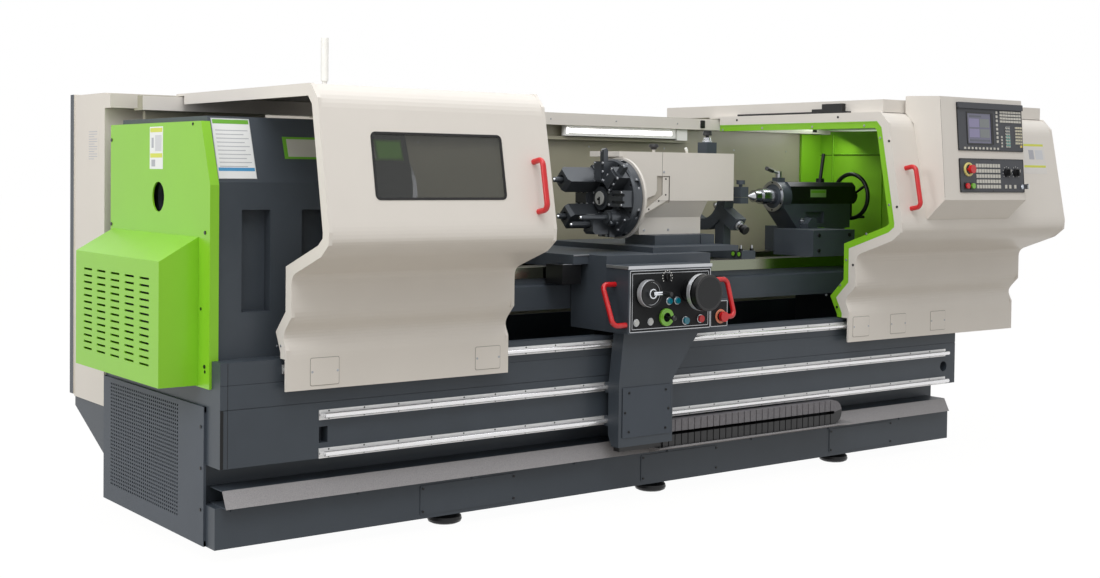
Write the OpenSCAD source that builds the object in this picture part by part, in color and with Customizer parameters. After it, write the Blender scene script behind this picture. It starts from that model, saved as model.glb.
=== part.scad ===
// Engine lathe with sliding guards, disc turret, steady rest and tailstock.
// Millimetres, +X along the bed to the tailstock, +Y to the back, +Z up.
// The origin is on the floor under the middle front levelling foot.

/* [Base] */
// Length of the base along the bed
base_l = 4090; // [3900:10:4600]
// Depth of the base, front to back
base_d = 1061; // [1000:1:1150]
// Height of the coping above the floor
coping_z = 722; // [700:1:740]
// Radius of a levelling foot
foot_r = 70; // [50:1:90]

/* [Bed and centres] */
// Height of the spindle axis above the floor
axis_z = 1300; // [1290:1:1320]
// Height of the bed ways above the floor
way_z = 1005; // [998:1:1010]
// Radius of the through bore of the spindle
bore_r = 52; // [30:1:60]
// Radius of the chuck body
chuck_r = 200; // [150:1:240]
// Radius of the tailstock quill
quill_r = 40; // [30:1:50]

/* [Guards] */
// Length of the left sliding guard
door_l = 979; // [900:1:1000]
// Length of the right sliding guard
door_r = 1280; // [1200:1:1400]
// Thickness of the guard skins
skin = 10; // [6:1:12]

/* [Turret] */
// Radius of the turret disc
disc_r = 176; // [150:1:185]
// Number of tool stations
stations = 8; // [4:1:12]

/* [Rails] */
// Radius of the apron rail shafts
shaft_r = 10; // [8:0.5:12]
// Spacing of the rail screws
rail_pitch = 150; // [100:5:250]

/* [Controls] */
// Radius of the right handwheel
wheel_r = 62; // [50:1:70]
// Radius of the tube of the red handles
grip_r = 11; // [8:0.5:14]

/* [Clearances] */
// Gap between pieces that slide past each other
gap = 0.3; // [0.3:0.1:1]
// Radial clearance of a running fit
run = 0.05; // [0.02:0.01:0.1]

/* [Hidden] */
$fn = 72;
// Joint line between faces bolted together
seat = 0.02;
origin_x = base_l / 2 + 80;
foot_dx = [-1093, 0, 1197];
lamp_x = origin_x + 107;
plate_x = [origin_x - 1267, origin_x - 135, origin_x + 1065];
origin_y = 90;
axis_y = 500;
floor_gap = 50;
front_y = -40;
seam_z = 555;
recess_z = 345;
tray_z = 262;
trough_z = 600;
guard_y = -90;
roof_z = 1712;
wall_y = 905;
left_x = 230;
right_x = base_l - 876;
rail_y = front_y - 25;
rail_za = 506;
rail_zb = 364;
rail_zd = 686;
rail_x0 = 390;
rail_x1 = base_l - 84;
head_x0 = 25;
head_x1 = 850;
spindle_r = bore_r + 33;
disc_y = 250;
disc_z = axis_z - 3;
box_x0 = base_l - 2356;
box_x1 = box_x0 + 466;
sad_x0 = box_x0 - 84;
sad_x1 = box_x0 + 686;
disc_x = box_x0 + 266;
box_y = -205;
pad_y = -150;
pod_x1 = box_x1 + 112;
low_x0 = box_x0 + 2;
low_x1 = box_x0 + 302;
chain_x0 = low_x1 - 36;
chain_l = 1110;
house_x0 = disc_x + 75;
house_x1 = disc_x + 767;
steady_x = base_l - 1295;
steady_w = 60;
tail_x = base_l - 833;
cab_x1 = 1400;
barrel_x0 = tail_x + 32;
barrel_x1 = barrel_x0 + 551;
lever_x = barrel_x0 + 351;
rim_x = barrel_x1 + 42;
quill_x = tail_x - 64;
screw_r = 14;
barrel_r = quill_r + 34;
cbox_x0 = right_x + 180;
cbox_x1 = cbox_x0 + 624;
slope_y = -402;
slope_z = 1195;
slope_a = atan(90 / 465);

steel = [0.62, 0.64, 0.66];
slate = [0.25, 0.28, 0.31];
cream = [0.86, 0.84, 0.81];
lime = [0.55, 0.78, 0.25];
black = [0.06, 0.06, 0.07];
red = [0.84, 0.16, 0.17];
alu = [0.78, 0.79, 0.8];
wallc = [0.62, 0.61, 0.53];

// Front profile of the sliding guards, bottom to roof, as depth and height
guard = [[guard_y, 610], [guard_y, 758], [-62, 812], [-128, 880], [-128, 1030],
         [-345, 1108], [-399, 1150], [slope_y, slope_z], [-312, 1660],
         [-262, roof_z], [900, roof_z]];

function unit(v) = v / norm(v);
function bez(a, b, c, t) = (1 - t) * (1 - t) * a + 2 * t * (1 - t) * b + t * t * c;
function cut(a, b, r) = b + unit(a - b) * min(r, 0.45 * norm(a - b));
// Open line with every inner corner rounded
function soft(p, r, n = 4) = [
    p[0],
    for (i = [1 : len(p) - 2], t = [0 : n])
        bez(cut(p[i - 1], p[i], r), p[i], cut(p[i + 1], p[i], r), t / n),
    p[len(p) - 1]];
function side(a, b) = let (u = unit(b - a)) [-u[1], u[0]];
function joinv(a, b) = unit(a + b) / (unit(a + b) * a);
// Line moved sideways by t
function shift(p, t) = [for (i = [0 : len(p) - 1])
    p[i] + t * (i == 0 ? side(p[0], p[1])
        : i == len(p) - 1 ? side(p[i - 1], p[i])
        : joinv(side(p[i - 1], p[i]), side(p[i], p[i + 1])))];
function back(p) = [for (i = [len(p) - 1 : -1 : 0]) p[i]];
function band(p, a, b) = concat(shift(p, a), back(shift(p, b)));

guard_line = soft(guard, 34);
// Inner run of the same profile, from above the coping to the front of the beam
guard_in = concat([[guard_y, 726]], [for (i = [1 : len(guard) - 2]) guard[i]], [[820, roof_z]]);

module at_floor() {
    translate([-origin_x, -origin_y, 0]) children();
}
module bx(x0, x1, y0, y1, z0, z1) {
    translate([x0, y0, z0]) cube([x1 - x0, y1 - y0, z1 - z0]);
}
module rod_x(x0, x1, y, z, r) {
    translate([x0, y, z]) rotate([0, 90, 0]) cylinder(h = x1 - x0, r = r);
}
module rod_y(x, y0, y1, z, r) {
    translate([x, y0, z]) rotate([-90, 0, 0]) cylinder(h = y1 - y0, r = r);
}
module rod_z(x, y, z0, z1, r) {
    translate([x, y, z0]) cylinder(h = z1 - z0, r = r);
}
// Outline in depth and height, extruded along X
module prof(p, x0, x1) {
    translate([x0, 0, 0]) rotate([90, 0, 90]) linear_extrude(x1 - x0) polygon(p);
}
// Outline in length and height, extruded along Y
module face(p, y0, y1) {
    translate([0, y1, 0]) rotate([90, 0, 0]) linear_extrude(y1 - y0) polygon(p);
}
module rod(a, b, r) {
    v = b - a;
    translate(a) rotate([0, acos(v[2] / norm(v)), atan2(v[1], v[0])])
        cylinder(h = norm(v), r = r);
}
// Turn of a path at b, and the length that a bend of radius q takes from each leg
function turn(a, b, c) = 180 - acos(unit(a - b) * unit(c - b));
function leg(a, b, c, q) = q * tan(turn(a, b, c) / 2);
module elbow(a, b, c, q, r) {
    u = unit(a - b);
    v = unit(c - b);
    t = leg(a, b, c, q);
    o = b + unit(u + v) * q / cos(turn(a, b, c) / 2);
    x = unit(b + u * t - o);
    z = unit(cross(x, unit(b + v * t - o)));
    y = cross(z, x);
    multmatrix([[x[0], y[0], z[0], o[0]], [x[1], y[1], z[1], o[1]],
                [x[2], y[2], z[2], o[2]], [0, 0, 0, 1]])
        rotate_extrude(angle = turn(a, b, c)) translate([q, 0]) circle(r = r);
}
// Tube bent along a list of points
module tube(p, r, q) {
    n = len(p) - 1;
    for (i = [0 : n - 1]) {
        d = unit(p[i + 1] - p[i]);
        a = i == 0 ? 0 : leg(p[i - 1], p[i], p[i + 1], q);
        b = i == n - 1 ? 0 : leg(p[i], p[i + 1], p[i + 2], q);
        rod(p[i] + d * a, p[i + 1] - d * b, r);
    }
    for (i = [1 : n - 1]) elbow(p[i - 1], p[i], p[i + 1], q, r);
}
// Frame on the sloping face of a guard: X along, Z up the slope, -Y outward
module on_slope(x, s) {
    translate([x, slope_y + s * sin(slope_a), slope_z + s * cos(slope_a)])
        rotate([-slope_a, 0, 0]) children();
}
module plate_xz(w, h, t, r) {
    rotate([90, 0, 0]) linear_extrude(t)
        polygon([for (c = [[w - r, h - r, 0], [r, h - r, 90], [r, r, 180], [w - r, r, 270]],
                 a = [0 : 22.5 : 90]) [c[0] + r * cos(c[2] + a), c[1] + r * sin(c[2] + a)]]);
}
module cap_y(x, y, z, r = 5, h = 3) {
    rod_y(x, y - h, y, z, r);
}

// ---------------------------------------------------------------- fixed frame
module base_cabinet() {
    color(slate) at_floor() difference() {
        union() {
            prof([[0, floor_gap], [0, 200], [110, 200], [110, recess_z], [front_y, recess_z],
                  [front_y, coping_z], [base_d, coping_z], [base_d, floor_gap]], 0, base_l);
            for (x = [0, cab_x1 - 60])
                prof([[base_d, 426], [1425, 426], [1425, 383], [base_d, 214]], x, x + 60);
        }
        bx(head_x1 + 60, base_l - 40, 20, wall_y - 15, trough_z, coping_z + 1);
        bx(-1, 320, 300, 980, 100, seam_z - 10);
        bx(-1, base_l + 1, front_y - 1, front_y + 3, seam_z - 3, seam_z);
        bx(-1, base_l + 1, front_y - 1, front_y + 2, 640, 642);
        bx(392, 428, front_y - 1, 10, 402, 462);
        rod_y(base_l - 92, front_y - 1, 0, 435, 26);
        for (dx = foot_dx, y = [origin_y, base_d - 90])
            rod_z(origin_x + dx, y, floor_gap - 1, floor_gap + 40, 13);
    }
}
module chip_tray() {
    color([0.5, 0.5, 0.51]) at_floor() {
        prof([[-42, 200], [-10, tray_z], [109.7, tray_z], [109.7, tray_z - 4], [-7, tray_z - 4],
              [-36, 204], [109.7, 204], [109.7, 200]], 25, base_l - 40);
        bx(chain_x0, chain_x0 + 1240, -112, -34, 221, 226);
        for (x = [10, 600, 1200])
            prof([[-42, 200], [-108, 221], [-30, 221]], chain_x0 + x, chain_x0 + x + 6);
        for (x = [60 : 520 : base_l - 60])
            bx(x, x + 26, -6, -gap, 182, 200);
    }
}
module levelling_feet() {
    color(black) at_floor()
        for (dx = foot_dx, y = [origin_y, base_d - 90]) translate([origin_x + dx, y, 0]) {
            rotate_extrude() polygon([[0, 0], [foot_r - 16, 0], [foot_r - 4, 6], [foot_r, 16],
                [foot_r - 3, 28], [foot_r - 14, 40], [foot_r - 22, floor_gap - gap],
                [0, floor_gap - gap]]);
            cylinder(h = floor_gap + 36, r = 12);
        }
}
module front_plates() {
    color(slate) at_floor()
        for (x = plate_x) translate([x, 0, 66]) plate_xz(460, 114, 3, 6);
}
module cover_screws() {
    color(black) at_floor() {
        for (x = plate_x, dx = [12, 448], dz = [12, 102])
            cap_y(x + dx, -3, 66 + dz, 5, 3);
        for (z = [180, 330, 480]) translate([-10, 100, z]) rotate([0, -90, 0]) cylinder(h = 3, r = 6);
        for (y = [70, 980], z = [700, 1180, 1520]) if (y > 100 || z < 1200)
            translate([-10, y, z]) rotate([0, -90, 0]) cylinder(h = 3, r = 7);
    }
}
// Strip, neck and screw heads that carry a rail shaft
module rail_strip(x0, x1, z, r) {
    h = r + 8.5;
    difference() {
        union() {
            bx(x0, x1, front_y - 6, front_y, z - h, z + h);
            bx(x0, x1, rail_y + r + 0.1, front_y - 6, z - 4, z + 4);
        }
        for (x = [x0 + 40 : rail_pitch : x1 - 20], d = [-1, 1])
            rod_y(x, front_y - 7, front_y - 2, z + d * (h - 5), 3.5);
    }
}
module rail_supports() {
    color(alu) at_floor() {
        rail_strip(rail_x0, rail_x1, rail_za, shaft_r);
        rail_strip(rail_x0, rail_x1, rail_zb, shaft_r);
        rail_strip(left_x + 10, rail_x1, rail_zd, 8);
    }
}
module rail_shafts() {
    color(steel) at_floor() {
        rod_x(rail_x0 + 12, rail_x1, rail_y, rail_za, shaft_r);
        rod_x(rail_x0 + 12, rail_x1, rail_y, rail_zb, shaft_r);
        rod_x(left_x + 14, rail_x1, rail_y, rail_zd, 8);
    }
}
module bed() {
    color(slate) at_floor() {
        prof([[190, 820], [190, 922], [208, 930], [208, way_z - 30], [300, way_z - 30],
              [300, 900], [680, 900], [680, way_z - 30], [772, way_z - 30], [772, 930],
              [790, 922], [790, 820]], head_x1 + gap, base_l - 40);
        for (x = [head_x1 + 80, origin_x + 175, base_l - 390]) bx(x, x + 240, 260, 720, trough_z, 820);
    }
}
module bed_ways() {
    color(steel) at_floor()
        for (y = [196, 680]) bx(head_x1 + gap, base_l - 40, y, y + 104, way_z - 30, way_z);
}
module end_grille() {
    color(slate) at_floor() difference() {
        bx(-10, 0, 75, base_d, floor_gap, seam_z - 1);
        for (i = [0 : 8], j = [0 : 17])
            bx(-11, 1, 310 + i * 73, 350 + i * 73, 120 + j * 24, 134 + j * 24);
        rod_x(-11, 1, 200, 500, 9);
    }
}
module end_cover() {
    color(lime) at_floor() {
        difference() {
            union() {
                prof([[31, coping_z + gap], [31, 1351], [112, 1580], [991, 1580],
                      [991, coping_z + gap]], -10, head_x0 - gap);
                bx(-10, -gap, 31, 991, 622, coping_z + gap);
            }
            prof([[37, 600], [37, 1350], [116, 1574], [985, 1574], [985, 600]], -4, head_x0);
            rod_x(-11, 0, axis_y, axis_z, bore_r + 5);
            bx(-11, 0, 180, 910, 700, 1010);
        }
        prof(concat([[guard_y + 58, coping_z]], shift(guard_in, -58),
                    [[820, 1639], [wall_y - gap, 1639], [wall_y - gap, coping_z]]),
             base_l - 24, base_l - 12);
    }
}
module vent_box() {
    color(lime) at_floor() difference() {
        vent_form(0);
        vent_form(6);
        for (i = [0 : 4], j = [0 : 12])
            bx(-161, -153, 216 + i * 143, 305 + i * 143, 694 + j * 26, 702 + j * 26);
    }
}
module vent_form(t) {
    face([[-10.3 + t, 626 + t], [-160 + t, 626 + t], [-160 + t, 1077 - t / 2],
          [-10.3 + t, 1163 - t / 2]], 127 + t, 966 - t);
}
module electrical_cabinet() {
    color(cream) at_floor() {
        bx(-10, cab_x1, base_d + gap, 1412, 426, 1714);
        bx(-14, cab_x1, 1412, 1455, 434, 1718);
        bx(-10, 200, 1000, base_d + gap, 1652, 1710);
    }
}
module headstock() {
    color(slate) at_floor() difference() {
        prof([[60, coping_z], [60, 1361], [140, 1600], [950, 1600], [950, coping_z]],
             head_x0, head_x1);
        rod_x(head_x0 - 1, head_x1 + 1, axis_y, axis_z, spindle_r + run);
        for (x = [126, 368, 610]) bx(x, x + 114, 59, 110, 889, 1261);
    }
}
module splash_guard() {
    color(wallc) at_floor() {
        prof([[840, 1640], [840, roof_z - skin - 3], [886, roof_z - skin - 3], [886, 1650],
              [wall_y + 15, 1650], [wall_y + 15, coping_z], [wall_y, coping_z],
              [wall_y, 1640]], head_x1 + 20, base_l);
        prof([[840, 1640], [840, roof_z - skin - 3], [886, roof_z - skin - 3], [886, 1650],
              [wall_y + 15, 1650], [wall_y + 15, 1640]], 60, head_x1 + 20);
        bx(90, 620, 880, 905, 1600, 1640);
        bx(880, 1000, wall_y + 15, 975, 1638, 1650);
    }
}
module work_lamp() {
    color([0.96, 0.96, 0.94]) at_floor() {
        bx(lamp_x, lamp_x + 683, 846, 896, 1590, 1640 - gap);
        rod_z(lamp_x, 871, 1590, 1640 - gap, 25);
        rod_z(lamp_x + 683, 871, 1590, 1640 - gap, 25);
        bx(lamp_x + 708, lamp_x + 778, 850, 892, 1582, 1640 - gap);
    }
}
module signal_tower() {
    color([0.93, 0.93, 0.92]) at_floor() {
        rod_z(937, 945, 1650, 1662, 24);
        rod_z(937, 945, 1662, 1800, 11);
        rod_z(937, 945, 1800, 1990, 17);
    }
}
module spindle_shaft() {
    color(steel) at_floor() difference() {
        union() {
            rod_x(head_x0 + 15, head_x1 + 2, axis_y, axis_z, spindle_r);
            rod_x(head_x1 + 2, head_x1 + 40, axis_y, axis_z, spindle_r + 50);
        }
        rod_x(0, head_x1 + 50, axis_y, axis_z, bore_r);
    }
}
module chuck_body() {
    color(steel) at_floor() difference() {
        union() {
            rod_x(head_x1 + 40, head_x1 + 170, axis_y, axis_z, chuck_r);
            rod_x(head_x1 + 170, head_x1 + 180, axis_y, axis_z, chuck_r - 14);
        }
        rod_x(head_x1, head_x1 + 190, axis_y, axis_z, bore_r);
        for (a = [90, 210, 330]) translate([0, axis_y, axis_z]) rotate([a - 90, 0, 0]) {
            bx(head_x1 + 150, head_x1 + 190, -22, 22, bore_r + 4, chuck_r + 2);
            rod_z(head_x1 + 100, 0, chuck_r - 30, chuck_r + 2, 12);
        }
    }
}
module chuck_jaws() {
    color(steel) at_floor()
        for (a = [90, 210, 330]) translate([0, axis_y, axis_z]) rotate([a - 90, 0, 0])
            face([[head_x1 + 150, bore_r + 24], [head_x1 + 244, bore_r + 24],
                  [head_x1 + 244, bore_r + 62], [head_x1 + 212, bore_r + 62],
                  [head_x1 + 212, chuck_r - 40], [head_x1 + 150, chuck_r - 40]], -21.7, 21.7);
}

// -------------------------------------------------------------- sliding guards
// Bearing block on the guard rail, open to the back round the rail neck
module guard_block(x) {
    difference() {
        bx(x, x + 80, guard_y + skin, rail_y + 14, rail_zd - 20, rail_zd + 20);
        rod_x(x - 1, x + 81, rail_y, rail_zd, 8 + run);
        bx(x - 1, x + 81, rail_y, rail_y + 15, rail_zd - 5, rail_zd + 5);
    }
}
module guard_shell(x0, x1, b0, b1) {
    prof(band(guard_line, 0, -skin), x0, x1);
    for (x = [x0, x1 - 14]) prof(band(guard_in, -0.1, -44), x, x + 14);
    bx(x0, x1, 890, 900, 1655, roof_z - skin);
    guard_block(b0);
    guard_block(b1);
}
module left_door_shell() {
    color(cream) at_floor() difference() {
        guard_shell(left_x, left_x + door_l, left_x + 210, left_x + door_l - 140);
        on_slope(left_x + 201, 117) translate([0, 60, 0]) plate_xz(554, 236, 120, 18);
    }
}
module left_window() {
    color([0.3, 0.3, 0.3]) at_floor()
        on_slope(left_x + 201.4, 117.4) translate([0, 9, 0]) plate_xz(553.2, 235.2, 8, 17.6);
}
module door_grip(x, s) {
    on_slope(x, s) tube([[0, 0, 8], [0, -58, 8], [0, -58, 200], [0, 0, 200]], grip_r, 24);
}
module left_door_handle() {
    color(red) at_floor() door_grip(left_x + door_l - 79, 58);
}
module right_door_shell() {
    color(cream) at_floor() {
        guard_shell(right_x, right_x + door_r, right_x + 60, right_x + 590);
        difference() {
            bx(right_x + 34, right_x + door_r - 14, -250, 1279, roof_z, 1772);
            bx(right_x + 40, right_x + door_r - 20, -244, 1273, roof_z - 1, 1766);
        }
    }
}
module right_door_liner() {
    color(lime) at_floor() {
        prof(band(guard_in, -44.3, -50), right_x, right_x + door_r);
        prof(band(guard_in, -49, -76), right_x + 2, right_x + 12);
    }
}
module right_door_handle() {
    color(red) at_floor() door_grip(right_x + 80, 58);
}
module control_box() {
    color(cream) at_floor() difference() {
        prof([[-380, 1207], [-399, 1207], [-502, 1302], [-462, 1786], [-280, 1792],
              [-260, 1790], [-260, 1207]], cbox_x0, cbox_x1);
        prof(concat(shift(guard, 0.2), [[900, 610]]), cbox_x0 - 1, cbox_x1 + 1);
        bx(cbox_x0 - 1, cbox_x1 + 1, -262, -240, 1700, 1800);
        for (p = ports) on_cbox(p[0], p[1]) rod_y(0, -1, 20, 0, 8);
    }
}
// Places of the buttons and knobs on the face of the control box
ports = [[179, 144], [474, 131], [546, 131], [162, 66], [203, 66], [589, 63]];
// Frame on the face of the control box: X along, Z up the face, -Y outward
cbox_a = atan(40 / 484);
module on_cbox(x, s) {
    translate([cbox_x0 + x, -502 + s * sin(cbox_a), 1302 + s * cos(cbox_a)])
        rotate([-cbox_a, 0, 0]) translate([0, -seat, 0]) children();
}
module control_panels() {
    color([0.12, 0.12, 0.14]) at_floor() {
        difference() {
            union() {
                on_cbox(116, 234) plate_xz(498, 228, 4, 4);
                on_cbox(116, 36) plate_xz(494, 161, 4, 4);
                on_cbox(116, 434) plate_xz(498, 28, 14, 3);
            }
            on_cbox(189, 269) translate([0, 1, 0]) plate_xz(180, 144, 6, 3);
            for (p = ports) on_cbox(p[0], p[1]) rod_y(0, -5, 1, 0, 8);
        }
        on_cbox(189.2, 269.2) plate_xz(179.6, 143.6, 3, 2.8);
    }
}
module control_keys() {
    color([0.85, 0.84, 0.8]) at_floor() {
        for (i = [0 : 9]) key_cap(156 + i * 28, 241, 12, 10);
        for (j = [0 : 7]) key_cap(408, 275 + j * 20, 12, 12);
        for (i = [0 : 7], j = [0 : 3]) key_cap(440 + i * 21, 374 + j * 15, 17, 10);
        for (i = [0 : 1], j = [0 : 6]) key_cap(480 + i * 18, 254 + j * 15, 14, 10);
        for (i = [0 : 2], j = [0 : 5]) key_cap(556 + i * 18, 270 + j * 15, 14, 10);
        for (j = [0 : 3]) key_cap(443, 254 + j * 15, 9, 9);
        for (g = [0 : 2], i = [0 : 2], j = [0 : 4])
            key_cap(238 + g * 63 + i * 21, 55 + j * 25, 15, 17);
        for (x = [455, 487, 527]) key_cap(x, 55, 15, 17);
        key_cap(590, 254, 14, 12);
    }
}
module key_cap(x, s, w, h) {
    on_cbox(x, s) bx(0, w, -7 - seat, -4 - seat, 0, h);
}
module estop_top() {
    color(red) at_floor() {
        on_cbox(179, 144) rod_y(0, -26, 12, 0, 8 - gap);
        on_cbox(179, 144) rod_y(0, -36, -20, 0, 20);
    }
}
module feed_knob() {
    color(black) at_floor() knob(474, 131);
}
module speed_knob() {
    color(black) at_floor() knob(546, 131);
}
module knob(x, s) {
    on_cbox(x, s) {
        rod_y(0, -24, 12, 0, 8 - gap);
        rod_y(0, -12, -4.6, 0, 21);
        difference() {
            rod_y(0, -30, -12, 0, 16);
            for (d = [-1, 1]) bx(d * 12 - 6, d * 12 + 6, -31, -14, -20, 20);
        }
    }
}
module start_button() {
    color([0.35, 0.75, 0.2]) at_floor() on_cbox(203, 66) {
        rod_y(0, -10, 12, 0, 8 - gap);
        rod_y(0, -16, -8, 0, 13);
    }
}
module stop_button() {
    color(red) at_floor() on_cbox(162, 66) {
        rod_y(0, -10, 12, 0, 8 - gap);
        rod_y(0, -16, -8, 0, 13);
    }
}
module key_switch() {
    color(steel) at_floor() on_cbox(589, 63) {
        rod_y(0, -12, 12, 0, 8 - gap);
        bx(-2, 2, -44, -12, -12, 12);
        rod_y(0, -10, -4.6, 0, 12);
    }
}
module interlock_switch() {
    color(black) at_floor() {
        bx(right_x + 4, right_x + 32, -54, 191, roof_z, roof_z + 8);
        bx(right_x + 6, right_x + 30, -20, 110, roof_z + 8, roof_z + 46);
        bx(right_x + 10, right_x + 26, 110, 180, roof_z + 8, roof_z + 22);
        rod_y(right_x + 18, 170, 704, roof_z + 5.3, 5);
    }
}

// -------------------------------------------------------------------- carriage
module saddle() {
    color(slate) at_floor() {
        bx(sad_x0, sad_x1, 150, 826, way_z + gap, way_z + 55);
        bx(box_x0, sad_x1 - 90, -60, 180, 742, way_z + 55);
        bx(sad_x0, box_x0, 60, 150, way_z + 15, way_z + 55);
        bx(sad_x0, sad_x1, 786 + gap, 826, way_z - 70, way_z + gap);
        bx(sad_x0 - 50, sad_x0 + 50, 70, 186, way_z - 69, way_z + 13);
    }
}
// Bearing block on an apron rail, open to the back round the rail neck
module apron_block(x, z) {
    difference() {
        bx(x, x + 100, -81, rail_y + 14, z - 22, z + 22);
        rod_x(x - 1, x + 101, rail_y, z, shaft_r + run);
        bx(x - 1, x + 101, rail_y, rail_y + 15, z - 5, z + 5);
    }
}
// Places and hole radii of the controls on the carriage panel
left_wheel = [box_x0 + 92, 911, 13];
right_wheel = [box_x0 + 331, 911, 13];
select = [box_x0 + 212, 974, 7];
stick = [box_x0 + 204, 805, 16];
teal = [box_x0 + 316, 785, 8];
hold = [box_x0 + 402, 789, 8];
knobs = [left_wheel, right_wheel, select, stick, teal, hold, [box_x0 + 223, 872, 8],
         [box_x0 + 268, 872, 8]];
low_stop = [box_x1 + 64, 792, 9];
module operator_box() {
    color(slate) at_floor() difference() {
        union() {
            bx(box_x0, box_x1, box_y, -60, 742, 1012);
            bx(box_x1, pod_x1, box_y + 10, -60, 742, 866);
            face([[low_x0, 530], [box_x0 + 26, 742], [box_x1 - 5, 742], [low_x1, 530]], pad_y, -81);
            prof([[pad_y, 262], [pad_y, 530], [-81, 530], [-81, 310], [-105, 262]],
                 low_x0, low_x1);
            for (x = [low_x0 + 4, low_x1 - 104], z = [rail_za, rail_zb]) apron_block(x, z);
        }
        for (p = knobs) rod_y(p[0], box_y - 1, box_y + 40, p[1], p[2]);
        rod_y(low_stop[0], box_y + 9, box_y + 60, low_stop[1], low_stop[2]);
    }
}
module operator_panel() {
    color([0.1, 0.1, 0.11]) at_floor() {
        difference() {
            translate([box_x0 + 8, box_y, 750]) plate_xz(box_x1 - box_x0 - 16, 254, 3, 6);
            for (p = knobs) rod_y(p[0], box_y - 4, box_y + 1, p[1], p[2]);
        }
        translate([stick[0], box_y - 3, stick[1]]) difference() {
            rod_y(0, -11, 0, 0, 35);
            rod_y(0, -12, 1, 0, 18);
        }
        difference() {
            translate([box_x1 + 8, box_y + 10, 750]) plate_xz(96, 108, 3, 5);
            rod_y(low_stop[0], box_y + 6, box_y + 11, low_stop[1], low_stop[2]);
        }
        difference() {
            translate([low_x0 + 18, pad_y, 300]) plate_xz(270, 212, 3, 3);
            for (p = [[54, 488], [258, 488], [32, 406], [274, 406], [54, 324], [258, 324]])
                rod_y(low_x0 + p[0], pad_y - 4, pad_y + 1, p[1], 6);
        }
    }
}
// Grab handle on a side face: w out to the side, l down the tilted grip
module side_grip(x, y, z, w, l, a, foot) {
    translate([x, y, z]) rotate([-a, 0, 0])
        tube([[0, 0, 0], [w, 0, 0], [w, 0, -l], [foot, 0, -l]], grip_r, 24);
}
module carriage_handles() {
    color(red) at_floor() {
        side_grip(box_x0, -118, 945, -68, 181, 24, 0);
        side_grip(box_x1, -120, 945, pod_x1 + 62 - box_x1, 168, 18, pod_x1 - box_x1);
    }
}
module cable_chain() {
    x1 = low_x1 + chain_l - 36;
    r = 57 - gap / 2;
    color([0.24, 0.24, 0.23]) at_floor() difference() {
        union() {
            bx(low_x1, x1, -98, -48, 290, 340);
            bx(low_x1 - 6, x1, -98, -48, 226 + gap, 276);
            rod_y(x1, -98, -48, 340 - r, r);
            bx(low_x1 - 246, low_x1 - 6, -92, -54, 230, 256);
        }
        bx(low_x1 + 24, x1, -99, -47, 276, 290);
        rod_y(x1, -99, -47, 283, 7);
        for (x = [low_x1 + 24 : 38 : x1 - 20], y = [-99, -53], z = [226, 290])
            bx(x, x + 5, y, y + 6, z, z + 52);
    }
}
module cross_wheel() {
    color([0.2, 0.2, 0.21]) at_floor() translate([left_wheel[0], box_y, left_wheel[1]]) {
        rod_y(0, -30, 30, 0, 13 - run);
        rod_y(0, -12, -3.4, 0, 48);
        difference() {
            rod_y(0, -46, -12, 0, wheel_r - 6);
            rod_y(0, -47, -38, 0, wheel_r - 14);
        }
        rod_y(0, -52, -38, 0, 20);
        rod([0, -46, 0], [54, -52, 0], 8);
        rod_y(54, -104, -40, 0, 10);
    }
}
module long_wheel() {
    color([0.2, 0.2, 0.21]) at_floor() translate([right_wheel[0], box_y, right_wheel[1]]) {
        rod_y(0, -30, 30, 0, 13 - run);
        rod_y(0, -16, -3.4, 0, 46);
        rod_y(0, -74, -16, 0, 22);
        rod_y(0, -100, -74, 0, wheel_r + 16);
        rod_y(0, -104, -100, 0, wheel_r + 8);
        rod_y(0, -134, -104, 0, wheel_r + 14);
    }
}
module axis_selector() {
    color(black) at_floor() translate([select[0], box_y, select[1]]) {
        rod_y(0, -12, 30, 0, 7 - run);
        rod_y(0, -14, -3.4, 0, 15);
        bx(-3, 3, -22, -14, -13, 13);
    }
}
module axis_joystick() {
    color([0.45, 0.72, 0.15]) at_floor() translate([stick[0], box_y, stick[1]]) {
        translate([0, 20, 0]) sphere(r = 16 - run);
        rod_y(0, -52, 10, 0, 6);
        translate([0, -56, 0]) sphere(r = 12);
    }
}
module panel_start() {
    color([0, 0.55, 0.67]) at_floor() translate([teal[0], box_y, teal[1]]) {
        rod_y(0, -8, 36, 0, 8 - gap);
        rod_y(0, -16, -8, 0, 15);
    }
}
module panel_hold() {
    color(red) at_floor() translate([hold[0], box_y, hold[1]]) {
        rod_y(0, -8, 36, 0, 8 - gap);
        rod_y(0, -16, -8, 0, 15);
    }
}
module estop_low() {
    color(red) at_floor() translate([low_stop[0], box_y + 10, low_stop[1]]) {
        rod_y(0, -22, 26, 0, 9 - gap);
        rod_y(0, -34, -18, 0, 22);
    }
}
module cross_slide() {
    color([0.2, 0.21, 0.23]) at_floor() {
        bx(house_x0 + 5, house_x0 + 525, 40, 800, way_z + 55 + gap, 1084);
        bx(house_x0 + 145, house_x0 + 423, 190, 400, 1084, 1128);
        bx(house_x0 + 437, house_x0 + 523, 200, 380, 1084, 1128);
    }
}
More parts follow.
